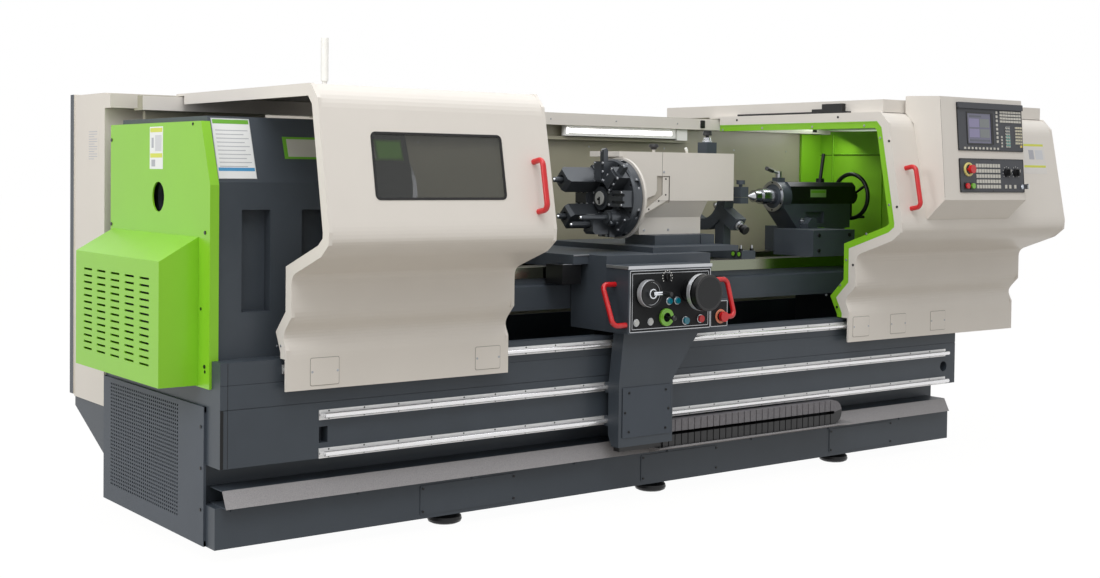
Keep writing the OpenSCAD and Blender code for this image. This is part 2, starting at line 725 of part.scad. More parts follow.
// The recess in the housing's front and the flange that stands in it
recess = [[205, 1399], [285, 1399], [285, 1270], [110, 1195], [150, 1298], [195, 1311], [205, 1330]];
flange = [[243, 1395], [281, 1395], [281, 1290], [130, 1222], [140, 1246], [243, 1312]];
module turret_housing() {
    color(cream) at_floor() {
        difference() {
            union() {
                bx(house_x0, house_x1, disc_y, 400, 1283, 1508);
                bx(disc_x + 54, house_x0, disc_y, 400, 1484, 1508);
                bx(disc_x + 4, disc_x + 54, 330, 400, 1484, 1508);
                rod_x(disc_x + 52, disc_x + 64, disc_y, disc_z, disc_r + 7);
                rod_x(disc_x + 52, house_x0 + 1, disc_y, disc_z, 96);
                translate([house_x0, 0, 0])
                    face([[0, 1140], [60, 1160], [118, 1211], [287, 1283], [0, 1283]], disc_y, 400);
                prof([[300, 1128], [300, 1206], [252, 1283], [400, 1283], [400, 1128]],
                     house_x0 + 143, house_x0 + 525);
                rod_z(house_x0 + 227, 300, 1508, 1534, 7);
                rod_z(house_x0 + 433, 300, 1508, 1520, 6);
            }
            rod_x(disc_x + 40, house_x0 + 60, disc_y, disc_z, 30 + run);
            bx(house_x0 + 237, house_x0 + 239, disc_y - 1, disc_y + 3, 1398, 1509);
            translate([house_x0, 0, 0]) face(recess, disc_y - 1, disc_y + 8);
            for (x = [174, 322]) rod_y(house_x0 + x, 299, 306, 1148, 6);
        }
        translate([house_x0, 0, 0]) face(flange, disc_y + 3, disc_y + 9);
    }
}
// Copies its child at every station of the disc, or at the stations listed
module at_station(list, turn = 0) {
    for (i = list)
        translate([0, disc_y, disc_z]) rotate([i * 360 / stations + turn, 0, 0]) children();
}
module turret_disc() {
    color(black) at_floor() difference() {
        union() {
            translate([disc_x, disc_y, disc_z]) rotate([0, 90, 0]) rotate_extrude()
                polygon([[0, 0], [disc_r - 8, 0], [disc_r, 8], [disc_r, 44], [disc_r - 6, 50], [0, 50]]);
            rod_x(disc_x + 49, house_x0 + 50, disc_y, disc_z, 30);
            rod_x(disc_x - 50, disc_x + 1, disc_y, disc_z, 52);
            rod_x(disc_x - 56, disc_x - 50, disc_y, disc_z, 36);
        }
        at_station([0 : stations - 1]) rod_x(disc_x - 1, disc_x + 51, 0, 118, 15);
        at_station([0 : stations - 1], 180 / stations) {
            rod_x(disc_x - 1, disc_x + 14, 0, disc_r - 20, 6);
            bx(disc_x + 12, disc_x + 38, -14, 14, disc_r - 10, disc_r + 1);
        }
    }
}
// Cylindrical foot by which every holder sits in its bore of the disc
module holder_foot() {
    rod_x(disc_x - 1, disc_x + 49, 0, 118, 15 - run);
}
// Square tool that points outwards, under a clamping wedge
module turning_holder(reach) {
    holder_foot();
    bx(disc_x - 62, disc_x, -34, 34, 72, 164);
    bx(disc_x - 72, disc_x - 62, -22, 22, 80, 156);
    bx(disc_x - 46, disc_x - 21, -12.5, 12.5, 160, reach);
    face([[disc_x - 46, reach], [disc_x - 21, reach], [disc_x - 30, reach + 12],
          [disc_x - 46, reach + 5]], -12.5, 2);
}
// Long block whose bore carries a boring bar along the bed
module boring_holder(body, reach) {
    holder_foot();
    bx(disc_x - 30, disc_x, -40, 40, 62, 172);
    difference() {
        face([[disc_x - body, 84], [disc_x - body + 14, 70], [disc_x - 30, 70], [disc_x - 30, 160],
              [disc_x - body + 14, 160], [disc_x - body, 146]], -34, 34);
        rod_x(disc_x - body - 1, disc_x - body + 12, 0, 115, 20);
        for (x = [40, 76, 112]) rod_z(disc_x - body + x, 0, 155, 161, 7);
    }
    rod_x(disc_x - body - reach, disc_x - body + 13, 0, 115, 12);
}
// Round sleeve on a square foot plate, for a drill or bar
module sleeve_holder(body, reach) {
    holder_foot();
    bx(disc_x - 24, disc_x, -38, 38, 66, 170);
    rod_x(disc_x - body, disc_x - 24, 0, 118, 34);
    rod_x(disc_x - body - 12, disc_x - body, 0, 118, 26);
    rod_x(disc_x - body - reach, disc_x - body - 12, 0, 118, 11);
    for (x = [44, 76]) rod_z(disc_x - x, 0, 145, 160, 8);
}
// Ribbed block with the slots of an empty tool seat
module empty_holder() {
    holder_foot();
    difference() {
        bx(disc_x - 56, disc_x, -36, 36, 60, 160);
        for (y = [-16, 16]) bx(disc_x - 57, disc_x - 46, y - 6, y + 6, 84, 161);
    }
}
module tool_holders() {
    color([0.16, 0.17, 0.19]) at_floor() translate([-seat, 0, 0]) {
        at_station([0]) turning_holder(212);
        at_station([1]) turning_holder(200);
        at_station([2]) empty_holder();
        at_station([3]) sleeve_holder(78, 150);
        at_station([4]) boring_holder(120, 96);
        at_station([5]) boring_holder(190, 36);
        at_station([6]) turning_holder(172);
        at_station([7]) boring_holder(210, 40);
    }
}

// ----------------------------------------------------------------- steady rest
steady_m = steady_x + steady_w / 2;
module steady_rest() {
    color(slate) at_floor() difference() {
        union() {
            rod_x(steady_x, steady_x + steady_w, axis_y, axis_z, 165);
            for (y = [350, 590])
                bx(steady_x + 6, steady_x + steady_w - 6, y, y + 60, way_z + 36, axis_z - 60);
            bx(steady_x - 15, steady_x + steady_w + 15, 200, 780, way_z + gap, way_z + 40);
            for (a = [90, 210, 330]) translate([0, axis_y, axis_z]) rotate([a - 90, 0, 0])
                bx(steady_x - 4, steady_x + steady_w + 4, -32, 32, 140, 266);
            bx(steady_x + 8, steady_x + steady_w - 8, 280, 352, axis_z - 26, axis_z + 26);
            bx(steady_x + 4, steady_x + steady_w - 4, 234, 288, axis_z - 30, axis_z + 50);
            rod_z(steady_m, 261, axis_z + 49, axis_z + 62, 9);
            rod_z(steady_m, 261, axis_z + 62, axis_z + 82, 21);
        }
        rod_x(steady_x - 5, steady_x + steady_w + 5, axis_y, axis_z, 110);
        for (a = [90, 210, 330]) translate([0, axis_y, axis_z]) rotate([a - 90, 0, 0])
            rod_z(steady_m, 0, 100, 300, 18 + run);
        bx(steady_x - 1, steady_x + steady_w + 1, 233, 392, axis_z - 1, axis_z + 1);
    }
}
module steady_jaws() {
    color(steel) at_floor()
        for (a = [90, 210, 330]) translate([0, axis_y, axis_z]) rotate([a - 90, 0, 0]) {
            rod_z(steady_x + steady_w / 2, 0, 88, 290, 18);
            rod_x(steady_x + steady_w / 2 - 10, steady_x + steady_w / 2 + 10, 0, 80, 12);
            rod_z(steady_x + steady_w / 2, 0, 290, 306, 9);
            rod_z(steady_x + steady_w / 2, 0, 306, 322, 22);
        }
}

// ------------------------------------------------------------------- tailstock
module tailstock_body() {
    color(slate) at_floor() difference() {
        union() {
            bx(tail_x, tail_x + 303, 186, 457, way_z + gap, 1137);
            bx(tail_x + 273, tail_x + 503, 430, 790, way_z + gap, 1137);
            face([[barrel_x0 + 14, axis_z], [barrel_x0 + 14, 1240], [tail_x + 143, 1136],
                  [barrel_x1 - 40, 1136], [barrel_x1 - 40, axis_z]], axis_y - 68, axis_y + 68);
            prof([[axis_y - 68, 1262], [axis_y - barrel_r, 1281], [axis_y - barrel_r, 1352],
                  [axis_y - 52, axis_z + barrel_r], [axis_y + 52, axis_z + barrel_r],
                  [axis_y + barrel_r, 1352], [axis_y + barrel_r, 1281], [axis_y + 68, 1262]],
                 barrel_x0 + 50, barrel_x1 - 6);
            rod_x(barrel_x0, barrel_x0 + 60, axis_y, axis_z, barrel_r + 6);
            rod_x(barrel_x1 - 20, barrel_x1, axis_y, axis_z, 52);
            bx(barrel_x0 + 4, barrel_x0 + 56, axis_y - 30, axis_y + 10, axis_z + 60, axis_z + 96);
            face([[tail_x + 166, 1136], [tail_x + 166, 1160], [tail_x + 196, 1190],
                  [tail_x + 236, 1190], [tail_x + 236, 1136]], 380, axis_y - 60);
        }
        rod_x(barrel_x0 - 1, barrel_x1 - 40, axis_y, axis_z, quill_r + run);
        rod_x(barrel_x1 - 41, barrel_x1 + 1, axis_y, axis_z, screw_r + run);
        rod_z(barrel_x0 + 30, axis_y - 10, axis_z + quill_r + 14, axis_z + 100, 9);
        rod_z(lever_x, axis_y, axis_z + barrel_r - 24, axis_z + barrel_r + 10, 12);
        face([[tail_x + 240, 1160], [tail_x + 340, 1160], [tail_x + 340, 1220],
              [tail_x + 200, 1220]], axis_y - 69, axis_y - 52);
    }
}
module tail_quill() {
    color(steel) at_floor() difference() {
        rod_x(quill_x, barrel_x1 - 180, axis_y, axis_z, quill_r);
        rod_x(quill_x - 1, quill_x + 107, axis_y, axis_z, 16 + run);
        rod_x(quill_x + 106, barrel_x1, axis_y, axis_z, screw_r + 6);
    }
}
module live_centre() {
    color(steel) at_floor() translate([quill_x, axis_y, axis_z]) rotate([0, 90, 0]) {
        translate([0, 0, -92]) cylinder(h = 46, r1 = 0.6, r2 = 22);
        translate([0, 0, -46]) cylinder(h = 46 - gap, r = 31);
        translate([0, 0, -1]) cylinder(h = 90, r = 16);
    }
}
module tail_wheel() {
    color(black) at_floor() translate([rim_x, axis_y, axis_z]) {
        rod_x(quill_x + 297 - rim_x, 24, 0, 0, screw_r);
        difference() {
            union() {
                rod_x(barrel_x1 + gap - rim_x, 4, 0, 0, 42);
                rod_x(-14, 26, 0, 0, 24);
            }
            rod_x(barrel_x1 - rim_x, 27, 0, 0, screw_r + run);
        }
        rotate([0, 90, 0]) rotate_extrude() translate([118, 0]) circle(r = 11);
        for (a = [30, 150, 270]) rod([0, 20 * cos(a), 20 * sin(a)],
                                     [0, 112 * cos(a), 112 * sin(a)], 7);
        rod_x(0, 58, 118 * cos(250), 118 * sin(250), 8);
    }
}
module quill_lever() {
    color(steel) at_floor() translate([barrel_x0 + 30, axis_y - 10, 0]) {
        rod_z(0, 0, axis_z + quill_r + 16, axis_z + 128, 9 - gap);
        rod_z(0, 0, axis_z + 96 + gap, axis_z + 128, 16);
        rod([0, 0, axis_z + 116], [-118, -50, axis_z + 136], 6);
        rod([-80, -34, axis_z + 129.5], [-152, -64.4, axis_z + 141.8], 10);
    }
}
module clamp_lever() {
    color(black) at_floor() translate([lever_x, axis_y, axis_z + barrel_r]) {
        rod_z(0, 0, -22, 20, 12 - gap);
        rod_z(0, 0, gap, 20, 22);
        rod([0, 0, 10], [24, 0, 150], 9);
    }
}

base_cabinet();
chip_tray();
levelling_feet();
front_plates();
cover_screws();
rail_supports();
rail_shafts();
bed();
bed_ways();
end_grille();
end_cover();
vent_box();
electrical_cabinet();
headstock();
splash_guard();
work_lamp();
signal_tower();
spindle_shaft();
chuck_body();
chuck_jaws();
left_door_shell();
left_window();
left_door_handle();
right_door_shell();
right_door_liner();
right_door_handle();
control_box();
control_panels();
control_keys();
estop_top();
feed_knob();
speed_knob();
start_button();
stop_button();
key_switch();
interlock_switch();
saddle();
operator_box();
operator_panel();
carriage_handles();
cable_chain();
cross_wheel();
long_wheel();
axis_selector();
axis_joystick();
panel_start();
panel_hold();
estop_low();
cross_slide();
turret_housing();
turret_disc();
tool_holders();
steady_rest();
steady_jaws();
tailstock_body();
tail_quill();
live_centre();
tail_wheel();
quill_lever();
clamp_lever();
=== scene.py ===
import math

import bmesh
import bpy
from mathutils import Matrix, Vector


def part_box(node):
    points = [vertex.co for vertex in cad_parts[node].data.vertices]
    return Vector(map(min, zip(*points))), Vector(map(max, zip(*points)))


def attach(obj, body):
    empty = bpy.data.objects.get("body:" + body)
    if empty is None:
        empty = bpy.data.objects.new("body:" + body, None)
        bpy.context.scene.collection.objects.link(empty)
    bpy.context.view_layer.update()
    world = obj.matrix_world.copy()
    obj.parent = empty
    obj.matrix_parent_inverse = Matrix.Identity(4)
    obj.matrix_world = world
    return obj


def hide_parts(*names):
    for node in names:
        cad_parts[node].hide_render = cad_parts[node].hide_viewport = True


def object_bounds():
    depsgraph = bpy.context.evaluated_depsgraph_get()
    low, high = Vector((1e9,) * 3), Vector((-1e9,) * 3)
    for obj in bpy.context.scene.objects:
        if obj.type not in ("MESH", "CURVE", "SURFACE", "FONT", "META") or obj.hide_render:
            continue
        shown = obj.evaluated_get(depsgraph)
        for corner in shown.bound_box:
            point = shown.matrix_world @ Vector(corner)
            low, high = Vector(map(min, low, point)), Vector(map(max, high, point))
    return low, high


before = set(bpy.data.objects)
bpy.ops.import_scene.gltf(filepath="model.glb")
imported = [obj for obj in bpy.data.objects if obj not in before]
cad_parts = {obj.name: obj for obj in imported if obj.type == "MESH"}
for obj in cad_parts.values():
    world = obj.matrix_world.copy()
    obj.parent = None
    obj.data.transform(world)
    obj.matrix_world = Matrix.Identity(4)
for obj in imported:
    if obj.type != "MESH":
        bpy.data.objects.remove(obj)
LOW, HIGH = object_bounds()
MM = 0.001
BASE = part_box("base_cabinet")
FRONT_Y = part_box("front_plates")[1].y


# ------------------------------------------------------------------ places
def at(x, y, z):
    """A point given in mm from the base's left end, its lower front face and the floor."""
    return Vector((BASE[0].x + x * MM, FRONT_Y + y * MM, z * MM))


def matrix_at(origin, right, up):
    """Local frame: X right, Z up, -Y out of the face."""
    x = Vector(right).normalized()
    z = Vector(up).normalized()
    y = z.cross(x)
    m = Matrix((x, y, z)).transposed().to_4x4()
    m.translation = origin
    return m


# --------------------------------------------------------------- materials
def linear(rgb):
    """Display colour to linear light."""
    return [c / 12.92 if c <= 0.04045 else ((c + 0.055) / 1.055) ** 2.4 for c in rgb]


def colour(r, g, b):
    """A shader colour from 0-255 display values."""
    return (*linear((r / 255, g / 255, b / 255)), 1.0)


def material(name, rgb, rough=0.5, metal=0.0, coat=0.0, mottle=0.04, scale=6.0, bump=0.0,
             grain=900.0, alpha=1.0, glow=0.0, spec=0.5):
    """A painted, plastic or metal surface with a slight uneven tone and surface grain."""
    m = bpy.data.materials.new(name)
    m.use_nodes = True
    nodes, links = m.node_tree.nodes, m.node_tree.links
    p = nodes["Principled BSDF"]
    c = colour(*rgb)
    p.inputs["Base Color"].default_value = c
    p.inputs["Roughness"].default_value = rough
    p.inputs["Metallic"].default_value = metal
    p.inputs["Coat Weight"].default_value = coat
    p.inputs["Coat Roughness"].default_value = 0.12
    p.inputs["Specular IOR Level"].default_value = spec
    p.inputs["Alpha"].default_value = alpha
    if glow:
        p.inputs["Emission Color"].default_value = c
        p.inputs["Emission Strength"].default_value = glow
    place = nodes.new("ShaderNodeTexCoord")
    if mottle:
        noise = nodes.new("ShaderNodeTexNoise")
        noise.inputs["Scale"].default_value = scale
        noise.inputs["Detail"].default_value = 6
        links.new(place.outputs["Object"], noise.inputs["Vector"])
        ramp = nodes.new("ShaderNodeValToRGB")
        ramp.color_ramp.elements[0].position = 0.3
        ramp.color_ramp.elements[1].position = 0.7
        ramp.color_ramp.elements[0].color = [v * (1 - mottle) for v in c[:3]] + [1]
        ramp.color_ramp.elements[1].color = [min(1, v * (1 + mottle)) for v in c[:3]] + [1]
        links.new(noise.outputs["Fac"], ramp.inputs["Fac"])
        links.new(ramp.outputs["Color"], p.inputs["Base Color"])
    if bump:
        fine = nodes.new("ShaderNodeTexNoise")
        fine.inputs["Scale"].default_value = grain
        fine.inputs["Detail"].default_value = 3
        links.new(place.outputs["Object"], fine.inputs["Vector"])
        b = nodes.new("ShaderNodeBump")
        b.inputs["Strength"].default_value = bump
        b.inputs["Distance"].default_value = 0.001
        links.new(fine.outputs["Fac"], b.inputs["Height"])
        links.new(b.outputs["Normal"], p.inputs["Normal"])
    return m


def brushed(name, rgb, rough=0.3, along=(1, 60, 60), strength=0.15):
    """Ground or brushed metal, with its lines stretched along one axis."""
    m = material(name, rgb, rough, 1.0, mottle=0)
    nodes, links = m.node_tree.nodes, m.node_tree.links
    p = nodes["Principled BSDF"]
    place = nodes.new("ShaderNodeTexCoord")
    stretch = nodes.new("ShaderNodeMapping")
    stretch.inputs["Scale"].default_value = along
    noise = nodes.new("ShaderNodeTexNoise")
    noise.inputs["Scale"].default_value = 30
    noise.inputs["Detail"].default_value = 4
    links.new(place.outputs["Object"], stretch.inputs["Vector"])
    links.new(stretch.outputs["Vector"], noise.inputs["Vector"])
    b = nodes.new("ShaderNodeBump")
    b.inputs["Strength"].default_value = strength
    b.inputs["Distance"].default_value = 0.0005
    links.new(noise.outputs["Fac"], b.inputs["Height"])
    links.new(b.outputs["Normal"], p.inputs["Normal"])
    return m


SLATE = material("slate_paint", (62, 69, 77), 0.45, coat=0.08, mottle=0.06, bump=0.12, spec=0.35)
CAST = material("cast_slate", (67, 74, 82), 0.5, coat=0.06, mottle=0.08, bump=0.25, grain=500,
                spec=0.35)
CREAM = material("cream_paint", (226, 221, 214), 0.42, coat=0.06, spec=0.35, mottle=0.012,
                 bump=0.1)
# a darker copy of the cream, taken from a side turned from the light: painted shade on the
# electrical cabinet and its label
CREAM_SHADED_SIDE = material("cream_painted_side_shade", (216, 210, 201), 0.42, coat=0.2, mottle=0.012, bump=0.1)
GREEN = material("green_paint", (136, 200, 42), 0.36, coat=0.12, spec=0.35, mottle=0.02, bump=0.08)
# the rear guard's cream painted darker and greener: painted shade and the tint of the lamp's light
WALL_CREAM_SHADE = material("wall_paint", (160, 156, 136), 0.4, coat=0.15, mottle=0.03, bump=0.1)
STEEL = brushed("ground_steel", (176, 178, 182))
TURNED = brushed("turned_steel", (186, 188, 192), 0.24, along=(60, 6, 6))
WAY = brushed("ground_way", (172, 168, 160), 0.28)
# ground steel painted darker and greener: a painted dark, greenish reflection on the way's front
# face
WAY_FRONT_REFLECTION = brushed("way_front_painted_reflection", (128, 132, 116), 0.16, strength=0.03)
CHROME = material("shaft_chrome", (214, 217, 222), 0.08, 1.0, mottle=0)
ALU = material("rail_aluminium", (226, 226, 226), 0.38, 0.55, mottle=0.02, bump=0.08)
SHAFT = material("rail_chrome", (236, 236, 238), 0.22, 0.75, mottle=0)
# black oxide of small steel parts; on the tailstock's barrel it stands for painted shade and a
# dark reflection
BLACK_AND_SHADE = material("black_oxide", (26, 27, 29), 0.34, 0.35, mottle=0.12, bump=0.15)
OXIDE = material("tool_oxide", (76, 80, 85), 0.3, 0.45, mottle=0.12, bump=0.15)
BLACK_PLASTIC = material("black_plastic", (22, 22, 24), 0.38, mottle=0.05, bump=0.1)
PANEL = material("panel_black", (28, 29, 31), 0.6, spec=0.2, mottle=0.05, bump=0.1)
PANEL_GREY = material("panel_grey", (62, 64, 70), 0.5, mottle=0.04, bump=0.08)
RED = material("red_plastic", (204, 22, 28), 0.3, coat=0.25, mottle=0.03)
TEAL = material("teal_plastic", (0, 118, 140), 0.25, coat=0.5, mottle=0.03)
LIME = material("green_plastic", (120, 186, 52), 0.3, coat=0.4, mottle=0.03)
YELLOW = material("yellow_plastic", (232, 200, 64), 0.35, coat=0.3, mottle=0.03)
RING_YELLOW = material("ring_yellow", (222, 210, 128), 0.35, coat=0.3, mottle=0.03)
RING_CORAL = material("ring_coral", (224, 138, 104), 0.35, coat=0.3, mottle=0.03)
KEY = material("key_plastic", (206, 204, 196), 0.4, mottle=0.03)
WHITE = material("white_plastic", (238, 238, 234), 0.4, mottle=0.01)
SILVER = material("silver_line", (196, 198, 202), 0.3, 0.8, mottle=0)
SCREEN = material("screen_glass", (98, 98, 124), 0.18, coat=0.6, mottle=0.03)
RUBBER = material("rubber", (20, 20, 21), 0.7, mottle=0.05, bump=0.1)
LAMP = material("lamp_tube", (255, 255, 252), 0.4, mottle=0, glow=6.0)
GLASS = material("window_glass", (48, 50, 47), 0.05, coat=0.5, mottle=0, alpha=0.5)
PAPER = material("label_white", (236, 238, 238), 0.45, mottle=0.01)
BLUE = material("label_blue", (70, 150, 200), 0.45, mottle=0.01)
# near-black painted shade for seams, gaps and the cap's notch
GAP_SHADE = material("gap_painted_shade", (14, 15, 16), 0.8, mottle=0)
SLATE_SHEET = material("slate_sheet", (68, 75, 84), 0.48, mottle=0.05, bump=0.1, spec=0.3)
CREAM_SHADE = material("cream_shadow_line", (150, 146, 140), 0.6, mottle=0)
PRINT = material("label_print", (176, 178, 186), 0.5, mottle=0.02)
PLATE = material("blank_plate", (206, 206, 198), 0.35, 0.3, mottle=0.02)
SIGN_GREEN = material("sign_green", (104, 172, 44), 0.4, mottle=0.03)
# a green that glows a little though it is no lamp: painted light on the name plate's right field
SIGN_PAINTED_GLOW = material("sign_green_painted_glow", (116, 190, 52), 0.4, mottle=0.03, glow=0.25)
LABEL_GREEN = material("label_green", (150, 190, 120), 0.45, mottle=0.03)
LEMON = material("label_lemon", (214, 220, 84), 0.45, mottle=0.01)
PRINT_LIGHT = material("label_print_light", (208, 210, 214), 0.5, mottle=0.02)
SHEET = material("label_sheet", (222, 219, 215), 0.42, coat=0.2, mottle=0.01)
SCREEN_DARK = material("screen_dark", (74, 76, 92), 0.2, coat=0.6, mottle=0.03)
SCREEN_BLUE = material("screen_blue", (132, 126, 166), 0.2, coat=0.6, mottle=0.04)
SCREEN_GREY = material("screen_grey", (112, 118, 120), 0.2, coat=0.6, mottle=0.04)
KEY_TEAL = material("key_teal", (110, 166, 160), 0.4, mottle=0.03)
KEY_DIM = material("key_dim", (124, 130, 134), 0.4, mottle=0.03)
KEY_CREAM = material("key_cream", (204, 198, 172), 0.4, mottle=0.03)
CAP = material("cap_grey", (190, 192, 190), 0.35, 0.2, mottle=0.04, bump=0.1)
TRAY = material("speckled_tray", (150, 148, 150), 0.6, mottle=0.22, scale=420.0, bump=0.2)
DIAL = material("dial_chrome", (206, 208, 212), 0.3, 0.55, mottle=0)
CHAIN = material("chain_cover", (112, 110, 114), 0.6, mottle=0.14, scale=120.0, bump=0.2)
# darker cream: painted shade for the floor of the turret housing's recess
RECESS_SHADE = material("recess_cream_painted_shade", (186, 179, 168), 0.5, mottle=0.01)


# ----------------------------------------------------------------- shaping
SMOOTH = 35         # degrees: edges sharper than this stay sharp in the scene's own pieces
CAD_SMOOTH = 32     # the same for the CAD solids
BEVEL_ANGLE = 40    # degrees: edges sharper than this are rounded
LABEL_THICK = 0.0006


def finish_mesh(name, bm, mats, body, smooth=SMOOTH, bevel=0.0, m=None):
    """A piece from a bmesh, moved by m, with its edges rounded, riding on a body."""
    me = bpy.data.meshes.new(name)
    bm.normal_update()
    bm.to_mesh(me)
    bm.free()
    o = bpy.data.objects.new(name, me)
    bpy.context.collection.objects.link(o)
    for one in mats if isinstance(mats, (list, tuple)) else [mats]:
        me.materials.append(one)
    if m is not None:
        me.transform(m)
    if smooth:
        me.shade_smooth()
        me.set_sharp_from_angle(angle=math.radians(smooth))
    if bevel:
        round_edges(o, bevel)
    if body:
        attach(o, body)
    return o


def round_edges(o, width):
    b = o.modifiers.new("round", "BEVEL")
    b.width = width
    b.segments = 2
    b.limit_method = "ANGLE"
    b.angle_limit = math.radians(BEVEL_ANGLE)
    b.harden_normals = True


def add_box(bm, lo, hi, index=0):
    x0, y0, z0 = lo
    x1, y1, z1 = hi
    v = [bm.verts.new(c) for c in ((x0, y0, z0), (x1, y0, z0), (x1, y1, z0), (x0, y1, z0),
                                   (x0, y0, z1), (x1, y0, z1), (x1, y1, z1), (x0, y1, z1))]
    for f in ((0, 3, 2, 1), (4, 5, 6, 7), (0, 1, 5, 4), (1, 2, 6, 5), (2, 3, 7, 6), (3, 0, 4, 7)):
        bm.faces.new([v[i] for i in f]).material_index = index


def add_rod(bm, a, b, r, n=24, index=0, r2=None):
    """A cylinder or cone from a to b."""
    a, b = Vector(a), Vector(b)
    axis = (b - a).normalized()
    side = axis.orthogonal().normalized()
    other = axis.cross(side)
    rings = []
    for p, q in ((a, r), (b, r if r2 is None else r2)):
        rings.append([bm.verts.new(p + (side * math.cos(t) + other * math.sin(t)) * q)
                      for t in (2 * math.pi * i / n for i in range(n))])
    for i in range(n):
        j = (i + 1) % n
        bm.faces.new((rings[0][i], rings[0][j], rings[1][j], rings[1][i])).material_index = index
    bm.faces.new(rings[0][::-1]).material_index = index
    bm.faces.new(rings[1]).material_index = index


def blocks(name, boxes, mats, body, m=None, bevel=0.0, smooth=SMOOTH):
    """Several boxes as one piece; each is (low corner, high corner[, material index])."""
    bm = bmesh.new()
    for one in boxes:
        add_box(bm, *one)
    return finish_mesh(name, bm, mats, body, smooth, bevel, m)


def add_screw(bm, p, out, r, h):
    """A socket head: a low cylinder with a round recess, standing on p and facing out."""
    n = 12
    out = Vector(out).normalized()
    side = out.orthogonal().normalized()
    other = out.cross(side)

    def ring(q, d):
        return [bm.verts.new(Vector(p) + out * d + (side * math.cos(t) + other * math.sin(t)) * q)
                for t in (2 * math.pi * i / n for i in range(n))]
    rows = [ring(r, 0), ring(r, h * 0.8), ring(r * 0.86, h), ring(r * 0.5, h),
            ring(r * 0.5, h * 0.4)]
    for a, b in zip(rows, rows[1:]):
        for i in range(n):
            j = (i + 1) % n
            bm.faces.new((a[i], a[j], b[j], b[i]))
    bm.faces.new(rows[-1])


def screws(name, points, out, r, h, mat, body):
    """Equal screw heads of radius r and height h as one piece."""
    bm = bmesh.new()
    for p in points:
        add_screw(bm, p, out, r, h)
    return finish_mesh(name, bm, mat, body, 30)


def rounded_rect(w, h, r):
    """The outline of a rectangle with corners of radius r, from its lower left corner."""
    n = 6
    pts = []
    for cx, cy, a0 in ((w - r, h - r, 0), (r, h - r, 90), (r, r, 180), (w - r, r, 270)):
        for i in range(n + 1):
            a = math.radians(a0 + 90 * i / n)
            pts.append((cx + r * math.cos(a), cy + r * math.sin(a)))
    return pts


def add_ring(bm, outer, inner, y0, y1):
    """A frame between two outlines with as many points, from y0 (front) to y1 (back)."""
    n = len(outer)
    rows = [[bm.verts.new((x, y, z)) for x, z in line] for y, line in
            ((y0, outer), (y1, outer), (y1, inner), (y0, inner))]
    for a, b in zip(rows, rows[1:] + rows[:1]):
        for i in range(n):
            j = (i + 1) % n
            bm.faces.new((a[i], a[j], b[j], b[i]))


def border(name, m, x, z, w, h, t, line, r, mat, body):
    """A line t thick and line wide round a rectangle on a face, with corners of radius r."""
    outer = [(x + a, z + b) for a, b in rounded_rect(w, h, r)]
    inner = [(x + line + a, z + line + b)
             for a, b in rounded_rect(w - 2 * line, h - 2 * line, max(r - line, 0.0002))]
    bm = bmesh.new()
    add_ring(bm, outer, inner, -t, 0.0)
    bmesh.ops.recalc_face_normals(bm, faces=bm.faces)
    return finish_mesh(name, bm, mat, body, 30, 0, m)


def label(name, m, w, h, fields, body, base=PAPER):
    """A blank plate with plain fields of colour: each is (x0, z0, x1, z1, material), as shares."""
    mats = [base]
    t = LABEL_THICK
    boxes = [((0, -t, 0), (w, 0, h), 0)]
    for x0, z0, x1, z1, mat in fields:
        if mat not in mats:
            mats.append(mat)
        boxes.append(((x0 * w, -t * 1.5, z0 * h), (x1 * w, -t, z1 * h), mats.index(mat)))
    return blocks(name, boxes, mats, body, m, 0, 0)


# -------------------------------------------------------------- named places
# In mm from the base's left end, its lower front face and the floor. Radii, widths and
# thicknesses that go straight to a helper are in metres.
def left_of(node):
    """Where a node's left side is, in mm from the base's left end."""
    return (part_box(node)[0].x - BASE[0].x) / MM


BASE_L = (BASE[1].x - BASE[0].x) / MM
LEFT_X = left_of("left_door_shell")
RIGHT_X = left_of("right_door_shell")
CBOX_X = left_of("control_box")
PANEL_X = left_of("operator_panel") - 8
PANEL_Y = -205                          # front of the operator's box
SADDLE_X = PANEL_X - 134
RAIL_X = 390                            # left end of the apron's two rails
RAILS = ((506, 13.5), (364, 13.5), (686, 11.5))     # height, half the spacing of its screws
CAP_REACH = 56                          # from the turret's cap to the disc's left face
DISC_X = left_of("turret_disc") + CAP_REACH
AXIS_Y, AXIS_Z = 500, 1300              # spindle
DISC_Y, DISC_Z = 250, AXIS_Z - 3
HOUSE_X = DISC_X + 75
STEADY_X = left_of("steady_rest") + 15
TAIL_X = left_of("tailstock_body")
BARREL_X = TAIL_X + 32
LAMP_X = left_of("work_lamp")
WAY_X = left_of("bed_ways")
WAY_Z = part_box("bed_ways")[1].z / MM
COVER_X = -10                           # left face of the end cover and the cabinet
SKIRT_Y = -90                           # front of the guards' skirts
BEAM_Y = 838.4                          # front of the roof beam
WALL_Y = 904.5                          # front of the rear splash guard
COPING_Z, ROOF_Z = 724, 1638            # bottom and top of the room inside the guards
# leaning faces: lower edge's y and z, and how they lean back
GUARD_EDGE, GUARD_LEAN = (-402, 1195), math.atan2(90, 465)
BOX_EDGE, BOX_LEAN = (-502, 1302), math.atan2(40, 484)
HEAD_EDGE, HEAD_LEAN = (60, 1361), math.atan2(80, 239)
LEFT, FRONT = (-1, 0, 0), (0, -1, 0)    # the ways that faces look


def front(x, y, z):
    """Frame on a face that looks to the operator."""
    return matrix_at(at(x, y, z), (1, 0, 0), (0, 0, 1))


def left_end(x, y, z):
    """Frame on a face that looks along -X; its local X runs towards the operator."""
    return matrix_at(at(x, y, z), (0, -1, 0), (0, 0, 1))


